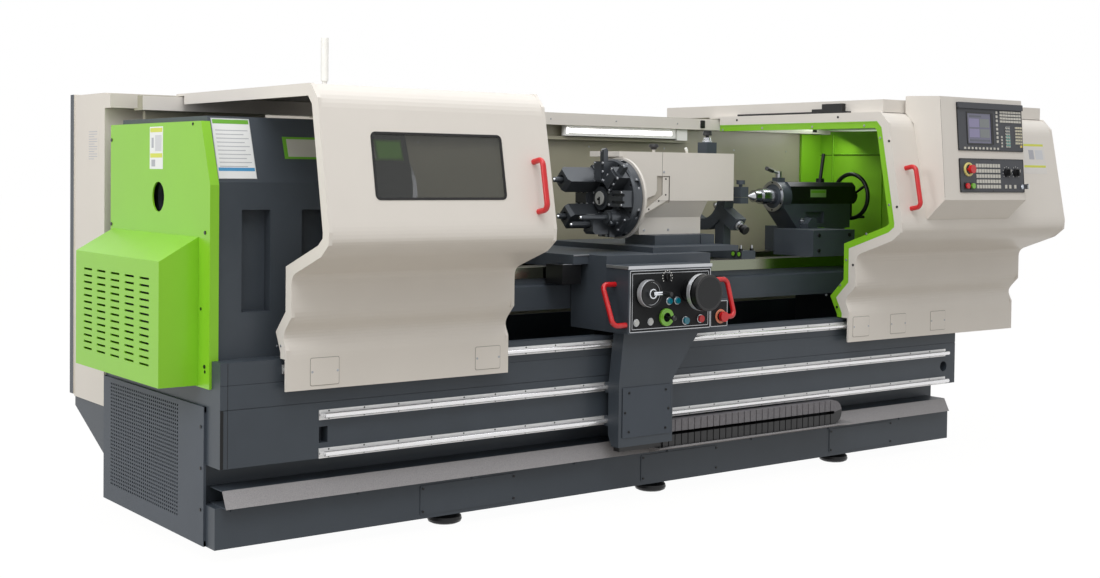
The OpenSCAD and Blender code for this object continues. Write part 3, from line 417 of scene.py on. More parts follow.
def leaning(x, edge, s, lean):
    """Frame at s mm up a face that leans back from its lower edge."""
    y, z = edge
    up = (0, math.sin(lean), math.cos(lean))
    return matrix_at(at(x, y + s * up[1], z + s * up[2]), (1, 0, 0), up)


def guard_face(x, s):
    return leaning(x, GUARD_EDGE, s, GUARD_LEAN)


def box_face(x, s):
    return leaning(CBOX_X + x, BOX_EDGE, s, BOX_LEAN)


def head_face(x, s):
    return leaning(x, HEAD_EDGE, s, HEAD_LEAN)


def m_(*v):
    """Millimetres to metres."""
    return tuple(c * MM for c in v)


def box_mm(x0, x1, y0, y1, z0, z1, index=0):
    """A box in the base's own millimetres."""
    return (at(x0, y0, z0), at(x1, y1, z1), index)


def disc(bm, m, x, z, r, d0, d1, index=0, n=24):
    """A round boss on a face, from d0 to d1 in front of it."""
    add_rod(bm, m @ Vector(m_(x, -d0, z)), m @ Vector(m_(x, -d1, z)), r * MM, n, index)


def repaint(node, mat, chosen):
    """The faces of a node whose centre is chosen, in base millimetres, get another material."""
    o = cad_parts[node]
    o.data.materials.append(mat)
    origin = at(0, 0, 0)
    for f in o.data.polygons:
        if chosen((f.center - origin) / MM, f.normal):
            f.material_index = len(o.data.materials) - 1


# -------------------------------------------------------------------- details
def base_details():
    """Screws of the three rails, the ground front of the bed with a painted dark reflection, and
    seams of the front plates in painted shade.
    """
    pitch, face_y = 150, -42
    heads = []
    for z, edge in RAILS:
        start = RAIL_X + 40 if z < 600 else LEFT_X + 50
        for i in range(int((BASE_L - 104 - start) / pitch) + 1):
            heads += [at(start + pitch * i, face_y, z + e) for e in (-edge, edge)]
    screws("rail_screws", heads, FRONT, 0.0038, 0.0036, BLACK_AND_SHADE, "frame")
    blocks("way_front_painted_reflection", [box_mm(WAY_X, BASE_L - 40, 195.6, 208, 955, WAY_Z - 0.5)],
           WAY_FRONT_REFLECTION, "frame", bevel=0.001)
    # the front plates' seams are drawn as painted shade
    blocks("base_seams", [box_mm(0.5, 12, -41.5, -39.6, 346, 554),
                          box_mm(28, 29.5, -40.6, -39, 346, 721)], GAP_SHADE, "frame")


def perforated_panel():
    """The ventilated end plate: a thin sheet with rows of small slots, and a folded rim."""
    lo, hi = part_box("end_grille")
    y0, y1, z0, z1 = 0.21, 0.895, 0.116, 0.538      # the punched field, in metres
    cols, rows = 36, 29
    sheet, rim = 0.0022, 0.02
    bm = bmesh.new()
    n = 12                                          # corners of one slot
    step_y, step_z = (y1 - y0) / cols, (z1 - z0) / rows
    side_y, side_z = step_y * 0.29, step_z * 0.32
    front_x, back_x = lo.x, lo.x + sheet
    for i in range(cols):
        for j in range(rows):
            cy, cz = y0 + (i + 0.5) * step_y, z0 + (j + 0.5) * step_z
            outer, hole, back = [], [], []
            for k in range(n):
                t = 2 * math.pi * (k + 0.5) / n
                c, s = math.cos(t), math.sin(t)
                grow = 0.5 / max(abs(c), abs(s))        # out to the edge of the slot's cell
                outer.append(bm.verts.new((front_x, cy + c * grow * step_y,
                                           cz + s * grow * step_z)))
                hole.append(bm.verts.new((front_x, cy + c * side_y, cz + s * side_z)))
                back.append(bm.verts.new((back_x, cy + c * side_y, cz + s * side_z)))
            for k in range(n):
                q = (k + 1) % n
                bm.faces.new((outer[q], outer[k], hole[k], hole[q]))
                bm.faces.new((hole[q], hole[k], back[k], back[q]))
    for a, b, c, d in ((lo.y, hi.y, lo.z, z0), (lo.y, hi.y, z1, hi.z), (lo.y, y0, z0, z1),
                       (y1, hi.y, z0, z1)):
        add_box(bm, (front_x, a, c), (back_x, b, d))
    for a, b, c, d in ((lo.y, hi.y, lo.z, lo.z + rim), (lo.y, hi.y, hi.z - rim, hi.z),
                       (lo.y, lo.y + rim, lo.z, hi.z), (hi.y - rim, hi.y, lo.z, hi.z)):
        add_box(bm, (back_x, a, c), (hi.x, b, d))
    panel = finish_mesh("perforated_panel", bm, SLATE_SHEET, "frame", 30)
    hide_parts("end_grille")


def stripes(x0, z0, step, thick, wide, count):
    """Plain lines across a label, as shares of it; wide(i) is the right end of line i."""
    return [(x0, z0 + step * i, wide(i), z0 + thick + step * i, PRINT) for i in range(count)]


def end_details():
    """Blank labels and screws on the end cover and the cabinet."""
    label("end_label", left_end(COVER_X, 583, 1405), 0.127, 0.161,
          [(0.04, 0.87, 0.96, 0.97, LEMON), (0.04, 0.27, 0.96, 0.37, LEMON),
           (0.14, 0.06, 0.42, 0.22, PRINT), (0.14, 0.5, 0.3, 0.74, PRINT),
           (0.42, 0.42, 0.9, 0.8, PRINT_LIGHT)], "frame")
    spots = ((182, 1570), (104, 905), (67, 682))
    screws("end_cover_screws", [at(COVER_X, y, z) for y, z in spots],
           LEFT, 0.006, 0.002, BLACK_AND_SHADE, "frame")
    rows = stripes(0.1, 0.08, 0.07, 0.02, lambda i: 0.86 if i % 3 else 0.6, 12)
    # the cabinet label's ground has the cabinet's cream with painted shade
    label("cabinet_label", left_end(COVER_X, 1254, 1430), 0.128, 0.147, rows, "frame",
          base=CREAM_SHADED_SIDE)


def headstock_details():
    """The blank sign and the blank name plate on the headstock's leaning front; the plate's right
    field glows as painted light.
    """
    m = head_face(37, 12)
    w, h = 0.151, 0.232
    rows = stripes(0.08, 0.2, 0.066, 0.012, lambda i: 0.92 if i % 2 else 0.8, 10)
    label("headstock_sign", m, w, h,
          [(0.03, 0.91, 0.97, 0.98, SIGN_GREEN), (0.03, 0.13, 0.97, 0.185, BLUE)] + rows, "frame")
    border("headstock_sign_edge", m, 0, 0, w, h, 0.0012, 0.002, 0.003, SILVER, "frame")
    plate = head_face(312, 92)
    label("blank_name_plate", plate, 0.514, 0.086, [(0.03, 0.1, 0.76, 0.9, PLATE),
                                                   (0.78, 0.1, 0.985, 0.9, SIGN_PAINTED_GLOW)],
          "frame", base=SIGN_GREEN)


def roof_details():
    """The roof beam's front with its clamps and screws, and the lamp's tray and tube."""
    blocks("beam_face", [box_mm(62, BASE_L - 2, BEAM_Y, 839.8, 1641, 1698)], CREAM, "frame")
    x0, x1, edge_y = LAMP_X - 1020, LAMP_X + 830, 866
    # the lamp's tray has the rear guard's cream with painted shade
    blocks("lamp_tray", [box_mm(x0, x1, edge_y, WALL_Y, 1570, 1580),
                         box_mm(x0, x1, edge_y, edge_y + 2, 1580, 1586)],
           WALL_CREAM_SHADE, "frame", bevel=0.001)
    bm = bmesh.new()
    add_rod(bm, at(LAMP_X + 12, 868, 1615), at(LAMP_X + 690, 868, 1615), 0.0242, 28)
    finish_mesh("lamp_tube", bm, LAMP, "frame")
    blocks("beam_clamps", [box_mm(x, x + 30, 832, BEAM_Y, 1650, 1690) for x in (3090, 3940)],
           BLACK_AND_SHADE, "frame", bevel=0.002)
    screws("beam_screws", [at(1290 + 410 * i, BEAM_Y, 1668) for i in range(7)],
           FRONT, 0.004, 0.002, STEEL, "frame")


def inside_details():
    """The green lining behind the right guard: column, seams in painted shade, and folds."""
    x0, x1 = BASE_L - 180, BASE_L - 24
    blocks("end_column", [box_mm(x0, x1, 893, WALL_Y, COPING_Z, ROOF_Z),
                          box_mm(x0 - 2, x0 + 4, 888, WALL_Y, COPING_Z, ROOF_Z)],
           GREEN, "frame", bevel=0.001)
    blocks("end_seams", [box_mm(x1 - 2.5, x1, 797, 803, 1380, ROOF_Z),
                         box_mm(x1 - 2, x1, 60, 900, 1522, 1525)], GAP_SHADE, "frame")
    blocks("end_folds", [box_mm(x1 - 9, x1, 790, 797, 860, ROOF_Z),
                         box_mm(x1 - 7, x1, 60, 790, 1526, 1533),
                         box_mm(x1 - 7, x1, 440, 447, 1000, 1520)], GREEN, "frame", bevel=0.002)
    screws("wall_screws", [at(x, 905, z) for x in (1400, 1900, 2400, 2900, 3400, 3800)
                           for z in (790, 1540)], FRONT, 0.005, 0.002, STEEL, "frame")


def skirt_panels(name, spots, body):
    """Flat covers on a guard's skirt, with a shadow line; each is (left, right, bottom, top)."""
    thick, line_w = 2.2, 2
    bm = bmesh.new()
    heads = []
    for x0, x1, z0, z1 in spots:
        line = rounded_rect((x1 - x0) * MM, (z1 - z0) * MM, 0.006)
        o = at(x0, SKIRT_Y, z0)
        rows = [[bm.verts.new((o.x + a, o.y - d, o.z + b)) for a, b in line]
                for d in (0, thick * MM)]
        for i in range(len(line)):
            j = (i + 1) % len(line)
            bm.faces.new((rows[0][i], rows[0][j], rows[1][j], rows[1][i]))
        bm.faces.new(rows[1])
        heads += [at(x, SKIRT_Y - thick, (z0 + z1) / 2) for x in (x0 + 6, x1 - 6)]
        border("%s_line_%d" % (name, x0), front(x0 - line_w, SKIRT_Y, z0 - line_w), 0, 0,
               (x1 - x0 + 2 * line_w) * MM, (z1 - z0 + 2 * line_w) * MM,
               0.0006, 0.0024, 0.007, CREAM_SHADE, body)
    bmesh.ops.recalc_face_normals(bm, faces=bm.faces)
    finish_mesh(name, bm, CREAM, body, 30, 0.0008)
    screws(name + "_screws", heads, FRONT, 0.0045, 0.0015, STEEL, body)


def guard_details():
    """Covers, gasket, frame screws and a blank label on the two sliding guards."""
    skirt_panels("left_skirt", [(LEFT_X + 99, LEFT_X + 215, 625, 724),
                                (LEFT_X + 822, LEFT_X + 938, 632, 720)], "left_guard")
    skirt_panels("right_skirt", [(RIGHT_X + x, RIGHT_X + x + 114, 635, 729)
                                 for x in (32, 305, 611)], "right_guard")
    border("window_gasket", guard_face(LEFT_X + 196, 112), 0, 0, 0.564, 0.246, 0.0016, 0.009,
           0.02, RUBBER, "left_guard")
    screws("left_frame_screws", [at(LEFT_X, y, z) for y, z in ((-19, 769), (-50, 772))],
           LEFT, 0.005, 0.002, STEEL, "left_guard")
    green = ((850, 1643), (510, 1648), (167, 1652), (-165, 1656), (-263, 1589), (-324, 1276),
             (-189, 1135), (-67, 1005), (-32, 882), (57, 827))
    cream = ((693, 1708), (-1, 1703), (-318, 1574), (-372, 1268), (-112, 983), (-15, 774))
    screws("green_frame_screws", [at(RIGHT_X + 2, min(y, 800), min(z, 1648)) for y, z in green],
           LEFT, 0.006, 0.0025, STEEL, "right_guard")
    screws("cream_frame_screws", [at(RIGHT_X, y, min(z, 1692)) for y, z in cream],
           LEFT, 0.006, 0.002, BLACK_AND_SHADE, "right_guard")
    label("guard_label", guard_face(RIGHT_X + 976, 240), 0.21, 0.162,
          [(0.02, 0.88, 0.98, 0.95, LEMON), (0.02, 0.2, 0.98, 0.27, LEMON),
           (0.36, 0.46, 0.56, 0.76, PRINT), (0.62, 0.46, 0.92, 0.76, PRINT_LIGHT)],
          "right_guard", base=SHEET)


def key_block(name, places, h, mat):
    """Raised keys on the control box; each place is the middle of a key."""
    w = 12
    bm = bmesh.new()
    m = box_face(0, 0)
    for x, s in places:
        add_box(bm, m_(x - w / 2, -9, s - h / 2), m_(x + w / 2, -6.8, s + h / 2))
    finish_mesh(name, bm, mat, "right_guard", 30, 0.0006, m)


def key_rows(x, s, columns, rows):
    """The middles of a block of keys from its lower left one."""
    return [(x + 18 * i, s + 15 * j) for i in range(columns) for j in range(rows)]


def control_details():
    """Panel frames, screen, keys, dial marks and screws on the leaning control box."""
    m = box_face(0, 0)
    border("upper_panel_edge", m, 0.116, 0.234, 0.498, 0.228, 0.0048, 0.004, 0.005, BLACK_PLASTIC,
           "right_guard")
    border("lower_panel_edge", m, 0.116, 0.036, 0.494, 0.161, 0.0048, 0.004, 0.005, BLACK_PLASTIC,
           "right_guard")
    screen = box_face(189, 269)
    fields = [(0.08, 0.07, 0.93, 0.13, SCREEN_DARK), (0.08, 0.2, 0.5, 0.48, SCREEN_BLUE),
              (0.53, 0.2, 0.93, 0.48, SCREEN_GREY), (0.08, 0.54, 0.5, 0.82, SCREEN_BLUE),
              (0.53, 0.54, 0.93, 0.82, SCREEN_GREY), (0.08, 0.87, 0.6, 0.93, SCREEN_DARK)]
    glass = screen @ Matrix.Translation(m_(0, -3.4, 0))
    label("screen", glass, 0.1796, 0.1436, fields, "right_guard", base=SCREEN)
    border("screen_frame", screen, -0.006, -0.006, 0.192, 0.156, 0.0062, 0.007, 0.006,
           BLACK_PLASTIC, "right_guard")
    blocks("screen_shade", [(m_(371, -5.6, 266), m_(384, -4, 416))], RUBBER, "right_guard", m)
    key_block("teal_keys", key_rows(487, 263.5, 2, 4), 8, KEY_TEAL)
    key_block("dim_keys", key_rows(487, 323.5, 2, 3), 8, KEY_DIM)
    key_block("cream_keys", key_rows(563, 275, 3, 6), 8, KEY_CREAM)
    key_block("yellow_key", [(597, 260)], 10, YELLOW)
    ring_on("estop_ring", m, 179, 144, 33, 23, 0, 12, RING_YELLOW, "right_guard", 0.002, 40)
    knob_s, reach = 131, 29
    for name, x, body in (("feed", 474, "feed_dial"), ("speed", 546, "speed_dial")):
        bm = bmesh.new()
        for i in range(9):
            t = math.radians(-130 + 260 * i / 8)
            mark = x + reach * math.sin(t), knob_s + reach * math.cos(t)
            add_rod(bm, m_(mark[0], -4.1, mark[1]), m_(mark[0], -5.2, mark[1]), 0.0016, 8)
        finish_mesh(name + "_marks", bm, WHITE, "right_guard", 30, 0, m)
        blocks(name + "_pointer", [(m_(x - 1, -30.8, 132), m_(x + 1, -29.9, 146))], WHITE, body, m)
    bm = bmesh.new()
    side, low = 0.034, 49 * MM
    outer = rounded_rect(side, side, 0.003)
    hole = [(side / 2 + (a - side / 2) * 0.8, side / 2 + (b - side / 2) * 0.8) for a, b in outer]
    for x in (145, 186):
        add_ring(bm, [(a + x * MM, b + low) for a, b in outer],
                 [(a + x * MM, b + low) for a, b in hole], -0.007, -0.004)
    bmesh.ops.recalc_face_normals(bm, faces=bm.faces)
    finish_mesh("button_frames", bm, BLACK_PLASTIC, "right_guard", 30, 0, m)
    spots = [(x, s) for x in (122, 364, 606) for s in (42, 191)] + [
        (x, s) for x in (122, 606) for s in (240, 428)]
    screws("panel_screws", [m @ Vector(m_(x, -4, s)) for x, s in spots],
           m.to_3x3() @ Vector(FRONT), 0.0035, 0.001, BLACK_AND_SHADE, "right_guard")
    # the box's seam is a painted shadow line
    blocks("box_seam", [(m_(2, -0.4, 12), m_(3.5, 0.3, 470))], CREAM_SHADE, "right_guard", m)


def circle(x, z, r, n):
    """n points round a circle on a face."""
    return [(x + r * math.cos(2 * math.pi * i / n), z + r * math.sin(2 * math.pi * i / n))
            for i in range(n)]


def ring_on(name, m, x, z, outer, inner, d0, d1, mat, body, bevel=0.0, n=48):
    """A flat ring on a face, from d0 to d1 mm in front of it."""
    bm = bmesh.new()
    lines = [[m_(*p) for p in circle(x, z, r, n)] for r in (outer, inner)]
    add_ring(bm, *lines, -d1 * MM, -d0 * MM)
    bmesh.ops.recalc_face_normals(bm, faces=bm.faces)
    return finish_mesh(name, bm, mat, body, 30, bevel, m)


LEFT_WHEEL, RIGHT_WHEEL = (92, 911), (331, 911)     # on the operator's panel, from PANEL_X
SELECTOR, JOYSTICK = (212, 974), (204, 805)


def carriage_details():
    """Panel borders, lamps, buttons, rings, dials, marks and screws on the carriage."""
    m = front(PANEL_X, PANEL_Y, 0)
    border("panel_edge", m, 0.006, 0.748, 0.454, 0.258, 0.0036, 0.003, 0.006, SILVER, "carriage")
    border("panel_line", m, 0.018, 0.76, 0.43, 0.234, 0.0036, 0.0022, 0.004, SILVER, "carriage")
    side = front(PANEL_X + 466, PANEL_Y + 10, 0)
    border("side_panel_edge", side, 0.006, 0.748, 0.1, 0.112, 0.0036, 0.0025, 0.005, SILVER,
           "carriage")
    front_y, back_y = PANEL_Y - 3, -62
    blocks("box_lid", [box_mm(PANEL_X - 2, PANEL_X + 468, front_y + 4, back_y, 1012, 1024, 0),
                       box_mm(PANEL_X - 4, PANEL_X + 470, front_y, front_y + 4, 1011, 1025, 1),
                       box_mm(PANEL_X - 4, PANEL_X - 1, front_y, back_y, 1012, 1025, 1)],
           [SLATE, SILVER], "carriage", bevel=0.001)
    bm = bmesh.new()
    for x, z in ((42, 789), (120, 790)):
        disc(bm, m, x, z, 13, 3, 9, 0)
        disc(bm, m, x, z, 16, 3, 5, 1)
    finish_mesh("white_lamps", bm, [CAP, SILVER], "carriage", 30, 0.001)
    bm = bmesh.new()
    for x, z in ((223, 872), (268, 872)):
        disc(bm, m, x, z, 13, 3, 13, 0)
        disc(bm, m, x, z, 17, 3, 6, 1)
    disc(bm, m, 316, 785, 18, 3, 6, 1)
    disc(bm, m, 402, 789, 18, 3, 6, 1)
    finish_mesh("panel_buttons", bm, [TEAL, SILVER], "carriage", 30, 0.0015)
    ring_on("joystick_ring", m, *JOYSTICK, 37, 19, 3, 15.4, LIME, "carriage", 0.002)
    ring_on("low_stop_ring", side, 64, 792, 31, 20, 3, 8, RING_CORAL, "carriage", 0.002)
    bm = bmesh.new()
    x, z = SELECTOR
    for i in range(11):
        t = math.radians(-125 + 250 * i / 10)
        disc(bm, m, x + 27 * math.sin(t), z + 27 * math.cos(t), 2.6, 3, 3.8, 0, 8)
    finish_mesh("selector_marks", bm, WHITE, "carriage", 30)
    blocks("selector_pointer", [(m_(x - 1, -22.8, z + 4), m_(x + 1, -21.8, z + 12))], WHITE,
           "selector", m)
    ring_on("left_dial", m, *LEFT_WHEEL, 57.5, 46, 13, 40, DIAL, "left_handwheel", 0.002, 64)
    ring_on("left_hub_ring", m, *LEFT_WHEEL, 21, 15.5, 38, 53.5, CHROME, "left_handwheel", 0.001)
    bm = bmesh.new()
    x, z = LEFT_WHEEL
    add_rod(bm, m @ Vector(m_(x + 54, -40, z)), m @ Vector(m_(x + 54, -105, z)),
            0.0105, 24, 0, 0.0085)
    add_rod(bm, m @ Vector(m_(x + 4, -47.5, z)), m @ Vector(m_(x + 54, -53, z)), 0.0084, 20, 1)
    finish_mesh("crank_grip", bm, [BLACK_PLASTIC, CHROME], "left_handwheel", 30, 0.001)
    ring_on("right_dial", m, *RIGHT_WHEEL, 78.6, 60, 76, 98, DIAL, "right_handwheel", 0.002, 72)
    ring_on("right_rim", m, *RIGHT_WHEEL, 77, 66, 104, 135, BLACK_PLASTIC, "right_handwheel",
            0.003, 72)
    bm = bmesh.new()
    x, z = RIGHT_WHEEL
    count, face = 60, -98.6
    for i in range(count):
        t = 2 * math.pi * i / count
        c, s = math.cos(t), math.sin(t)
        start, end = 74.5 if i % 5 else 72, 77.5
        add_rod(bm, m @ Vector(m_(x + start * c, face, z + start * s)),
                m @ Vector(m_(x + end * c, face, z + end * s)), 0.0004, 6)
    finish_mesh("dial_marks", bm, BLACK_AND_SHADE, "right_handwheel", 30)
    low = front(PANEL_X + 2, -150, 0)
    border("low_panel_edge", low, 0.018, 0.3, 0.27, 0.212, 0.0034, 0.002, 0.004, SLATE_SHEET,
           "carriage")
    bm = bmesh.new()
    for x, z in ((54, 488), (258, 488), (32, 406), (274, 406), (54, 324), (258, 324)):
        add_screw(bm, low @ Vector(m_(x, -2, z)), FRONT, 0.0055, 0.0035)
    finish_mesh("low_panel_screws", bm, BLACK_AND_SHADE, "carriage", 30)
    x, z = SADDLE_X, WAY_Z
    blocks("saddle_edge", [box_mm(x, x + 100, 66, 72, z + 13, z + 17),
                           box_mm(x + 50, x + 134, 56, 62, z + 50, z + 56)],
           STEEL, "carriage", bevel=0.0008)


STATION = 45        # degrees between two stations of the disc
HOLDERS = "turn turn empty sleeve bore bore turn bore".split()
# depth of the holder's face before the disc, and its bolts: aside, out from the disc's axis
HOLDER_BOLTS = {
    "turn": (62.5, [(-28, 80), (28, 80), (-28, 156), (28, 156), (-28, 118), (28, 118)]),
    "empty": (56.5, [(-28, 68), (28, 68), (-28, 152), (28, 152)]),
    "sleeve": (24.5, [(-31, 73), (31, 73), (-31, 163), (31, 163)]),
    "bore": (30.5, [(-37, 70), (37, 70), (-20, 167), (20, 167)]),
}


def outward(degrees):
    """The way out from the disc's or the steady's axis at an angle from straight up."""
    t = math.radians(degrees)
    return Vector((0, -math.sin(t), math.cos(t)))


def turret_details():
    """The disc's cap, bolts and tool tips, and the housing's screws, seams and knobs."""
    face = left_end(DISC_X - CAP_REACH, DISC_Y, DISC_Z)
    bm = bmesh.new()
    disc(bm, face, 0, 0, 31, 0, 3, 0, 40)
    finish_mesh("turret_cap", bm, CAP, "turret", 30, 0.001)
    # the cap's notch is painted shade
    notch = [(m_(-5, -4, -26), m_(5, -2.6, 6)), (m_(-14, -4, -10), m_(5, -2.6, 0))]
    blocks("cap_notch", notch, GAP_SHADE, "turret", face)
    bm = bmesh.new()
    centre = at(DISC_X, DISC_Y, DISC_Z)
    for k, holder in enumerate(HOLDERS):
        out = outward(STATION * k)
        side = Vector((0, out.z, -out.y))
        depth, spots = HOLDER_BOLTS[holder]
        for q, far in spots:
            p = centre + out * far * MM + side * q * MM + Vector((-depth * MM, 0, 0))
            add_screw(bm, p, LEFT, 0.0065, 0.006)
        for q in (-0.12, 0.12):
            rim = outward(STATION * (k + 0.5) + math.degrees(q))
            add_screw(bm, centre + rim * 0.1745 + Vector((0.028, 0, 0)), rim, 0.005, 0.0025)
    finish_mesh("turret_bolts", bm, STEEL, "turret", 30)
    bm = bmesh.new()
    for k, reach in ((0, 212), (1, 200), (6, 172)):         # standing tools
        out = outward(STATION * k)
        tip = at(DISC_X - 41, DISC_Y, DISC_Z) + out * (reach + 3) * MM
        add_rod(bm, tip - out * 0.008, tip + out * 0.005, 0.006, 3)
    for k, reach in ((3, 228), (4, 216), (5, 226), (7, 250)):       # bars along the axis
        mid = centre + outward(STATION * k) * 0.116
        add_rod(bm, mid + Vector((-(reach - 2) * MM, 0, 0)),
                mid + Vector((-(reach + 6) * MM, 0, 0)), 0.0085, 20, 0, 0.005)
    finish_mesh("tool_tips", bm, CHROME, "turret", 30)
    x, mid_y, top_z = HOUSE_X, 300, 1508
    small = [at(x + 247, DISC_Y, 1417)]
    skirt = [at(x + d, mid_y, 1148) for d in (174, 322)]
    flange = [at(x + d, DISC_Y + 3, z)
              for d, z in ((262, 1385), (262, 1312), (220, 1284), (160, 1246))]
    screws("housing_screws", small + skirt, FRONT, 0.0055, 0.003, STEEL, "cross_slide")
    screws("flange_screws", flange, FRONT, 0.004, 0.002, BLACK_AND_SHADE, "cross_slide")
    # the housing's seams are painted shadow lines
    blocks("housing_seams", [box_mm(x + 237.4, x + 238.6, 249.5, 400, 1507.6, 1508.3),
                             box_mm(x + 60, x + 690, 249.6, 250.2, 1284, 1285)],
           CREAM_SHADE, "cross_slide")
    bm = bmesh.new()
    x += 227
    add_rod(bm, at(x, mid_y, top_z + 24), at(x, mid_y, top_z + 38), 0.024, 28, 0, 0.02)
    add_rod(bm, at(x, mid_y, top_z + 12), at(x, mid_y, top_z + 25), 0.012, 24, 0, 0.02)
    add_rod(bm, at(x + 206, mid_y, top_z + 10), at(x + 198, mid_y, top_z + 24), 0.007, 16, 1)
    finish_mesh("housing_knobs", bm, [BLACK_PLASTIC, WHITE], "cross_slide", 30, 0.002)


def steady_details():
    """Knobs, nuts and plugs of the steady rest."""
    mid = at(STEADY_X + 30, AXIS_Y, AXIS_Z)
    bm = bmesh.new()
    for a in (0, 120, 240):
        out = outward(a)
        add_rod(bm, mid + out * 0.300, mid + out * 0.324, 0.0235, 24, 0, 0.021)
        add_rod(bm, mid + out * 0.266, mid + out * 0.274, 0.024, 24, 1)
    finish_mesh("steady_knobs", bm, [BLACK_PLASTIC, SILVER], "steady", 30, 0.002)
    bm = bmesh.new()
    for y in (216, 764):
        for x in (STEADY_X - 6, STEADY_X + 66):
            add_rod(bm, at(x, y, WAY_Z + 40), at(x, y, WAY_Z + 50), 0.011, 6, 0)
            add_rod(bm, at(x, y, WAY_Z + 50), at(x, y, WAY_Z + 66), 0.006, 16, 1)
    finish_mesh("steady_nuts", bm, [BLACK_AND_SHADE, STEEL], "steady", 30, 0.0008)
    bm = bmesh.new()
    x, z = STEADY_X - 20, WAY_Z + 24
    for y in (214, 254):
        add_rod(bm, at(x + 4, y, z), at(x, y, z), 0.017, 24, 0)
        add_rod(bm, at(x, y, z), at(x - 3, y, z), 0.010, 24, 1)
    finish_mesh("steady_plugs", bm, [RUBBER, LIME], "steady", 30, 0.001)


def tailstock_details():
    """Blank label, bolts, ground plate, ring and wheel cap of the tailstock."""
    face = front(BARREL_X + 200, AXIS_Y - 74, 1296)
    label("barrel_label", face, 0.118, 0.04, [(0.04, 0.55, 0.96, 0.9, LIME),
                                             (0.04, 0.1, 0.96, 0.5, LABEL_GREEN)],
          "tailstock", base=LABEL_GREEN)
    bm = bmesh.new()
    x, z = TAIL_X + 180, 1172
    add_rod(bm, at(x, 440, z), at(x, 426, z), 0.019, 6)
    add_rod(bm, at(x, 426, z), at(x, 416, z), 0.011, 20)
    finish_mesh("column_bolt", bm, STEEL, "tailstock", 30, 0.001)
    blocks("column_plate", [box_mm(TAIL_X + 196, TAIL_X + 296, 384, 428, 1137, 1141)], CHROME,
           "tailstock", bevel=0.001)
    screws("tail_base_screws", [at(TAIL_X + d, 186, z) for d in (40, 262) for z in (1036, 1112)],
           FRONT, 0.009, 0.006, BLACK_AND_SHADE, "tailstock")
    ring = left_end(BARREL_X, AXIS_Y, AXIS_Z)
    thick, circle_r = 4, 70
    ring_on("barrel_ring", ring, 0, 0, 79, 62, 0, thick, STEEL, "tailstock", 0.001, 56)
    bm = bmesh.new()
    for i in range(6):
        t = math.radians(60 * i + 30)
        spot = m_(circle_r * math.cos(t), -thick, circle_r * math.sin(t))
        add_screw(bm, ring @ Vector(spot), LEFT, 0.005, 0.003)
    finish_mesh("barrel_ring_screws", bm, BLACK_AND_SHADE, "tailstock", 30)
    mid = at(BARREL_X + 593, AXIS_Y, AXIS_Z)
    bm = bmesh.new()
    add_rod(bm, mid + Vector((0.024, 0, 0)), mid + Vector((0.03, 0, 0)), 0.022, 28, 0)
    finish_mesh("wheel_cap", bm, STEEL, "tail_handwheel", 30, 0.001)


def repaint_faces():
    """Second colours on CAD solids: black ends, painted shade on the tailstock's barrel, the green
    lining, the tray's top, and painted shade in the recess.
    """
    repaint("steady_jaws", BLACK_AND_SHADE, lambda p, n: math.hypot(p.y - AXIS_Y, p.z - AXIS_Z) > 288)
    repaint("electrical_cabinet", SLATE, lambda p, n: p.y > 1412 and n.x < -0.9)
    repaint("quill_lever", BLACK_AND_SHADE, lambda p, n: p.x < BARREL_X - 45)
    repaint("right_door_shell", GREEN, lambda p, n: n.y > 0.3 and 620 < p.z < 1700
            and RIGHT_X + 30 < p.x < BASE_L - 30)
    # the barrel's upper faces are painted black: painted shade and a dark reflection on slate
    # paint
    repaint("tailstock_body", BLACK_AND_SHADE, lambda p, n: p.z > 1262 and p.x > BARREL_X + 70)
    repaint("saddle", BLACK_AND_SHADE, lambda p, n: p.x < PANEL_X - 30 and p.y < 188 and p.z < WAY_Z + 14)
    repaint("chip_tray", TRAY, lambda p, n: p.z > 203 and p.y < 20)
    repaint("cable_chain", CHAIN, lambda p, n: p.z > 289)
    repaint("operator_panel", SLATE_SHEET, lambda p, n: p.z < 520)
    # painted shade on the recess's floor, and a painted shadow line round its sides
    repaint("turret_housing", RECESS_SHADE, lambda p, n: DISC_Y + 4 < p.y < DISC_Y + 9.5
            and n.y < -0.9)
    repaint("turret_housing", CREAM_SHADE, lambda p, n: DISC_Y < p.y < DISC_Y + 8.5
            and abs(n.y) < 0.3 and p.x > HOUSE_X + 90)


def details():
    base_details()
    perforated_panel()
    end_details()
    headstock_details()
    roof_details()
    inside_details()
    guard_details()
    control_details()
    carriage_details()
    turret_details()
    steady_details()
    tailstock_details()
    repaint_faces()


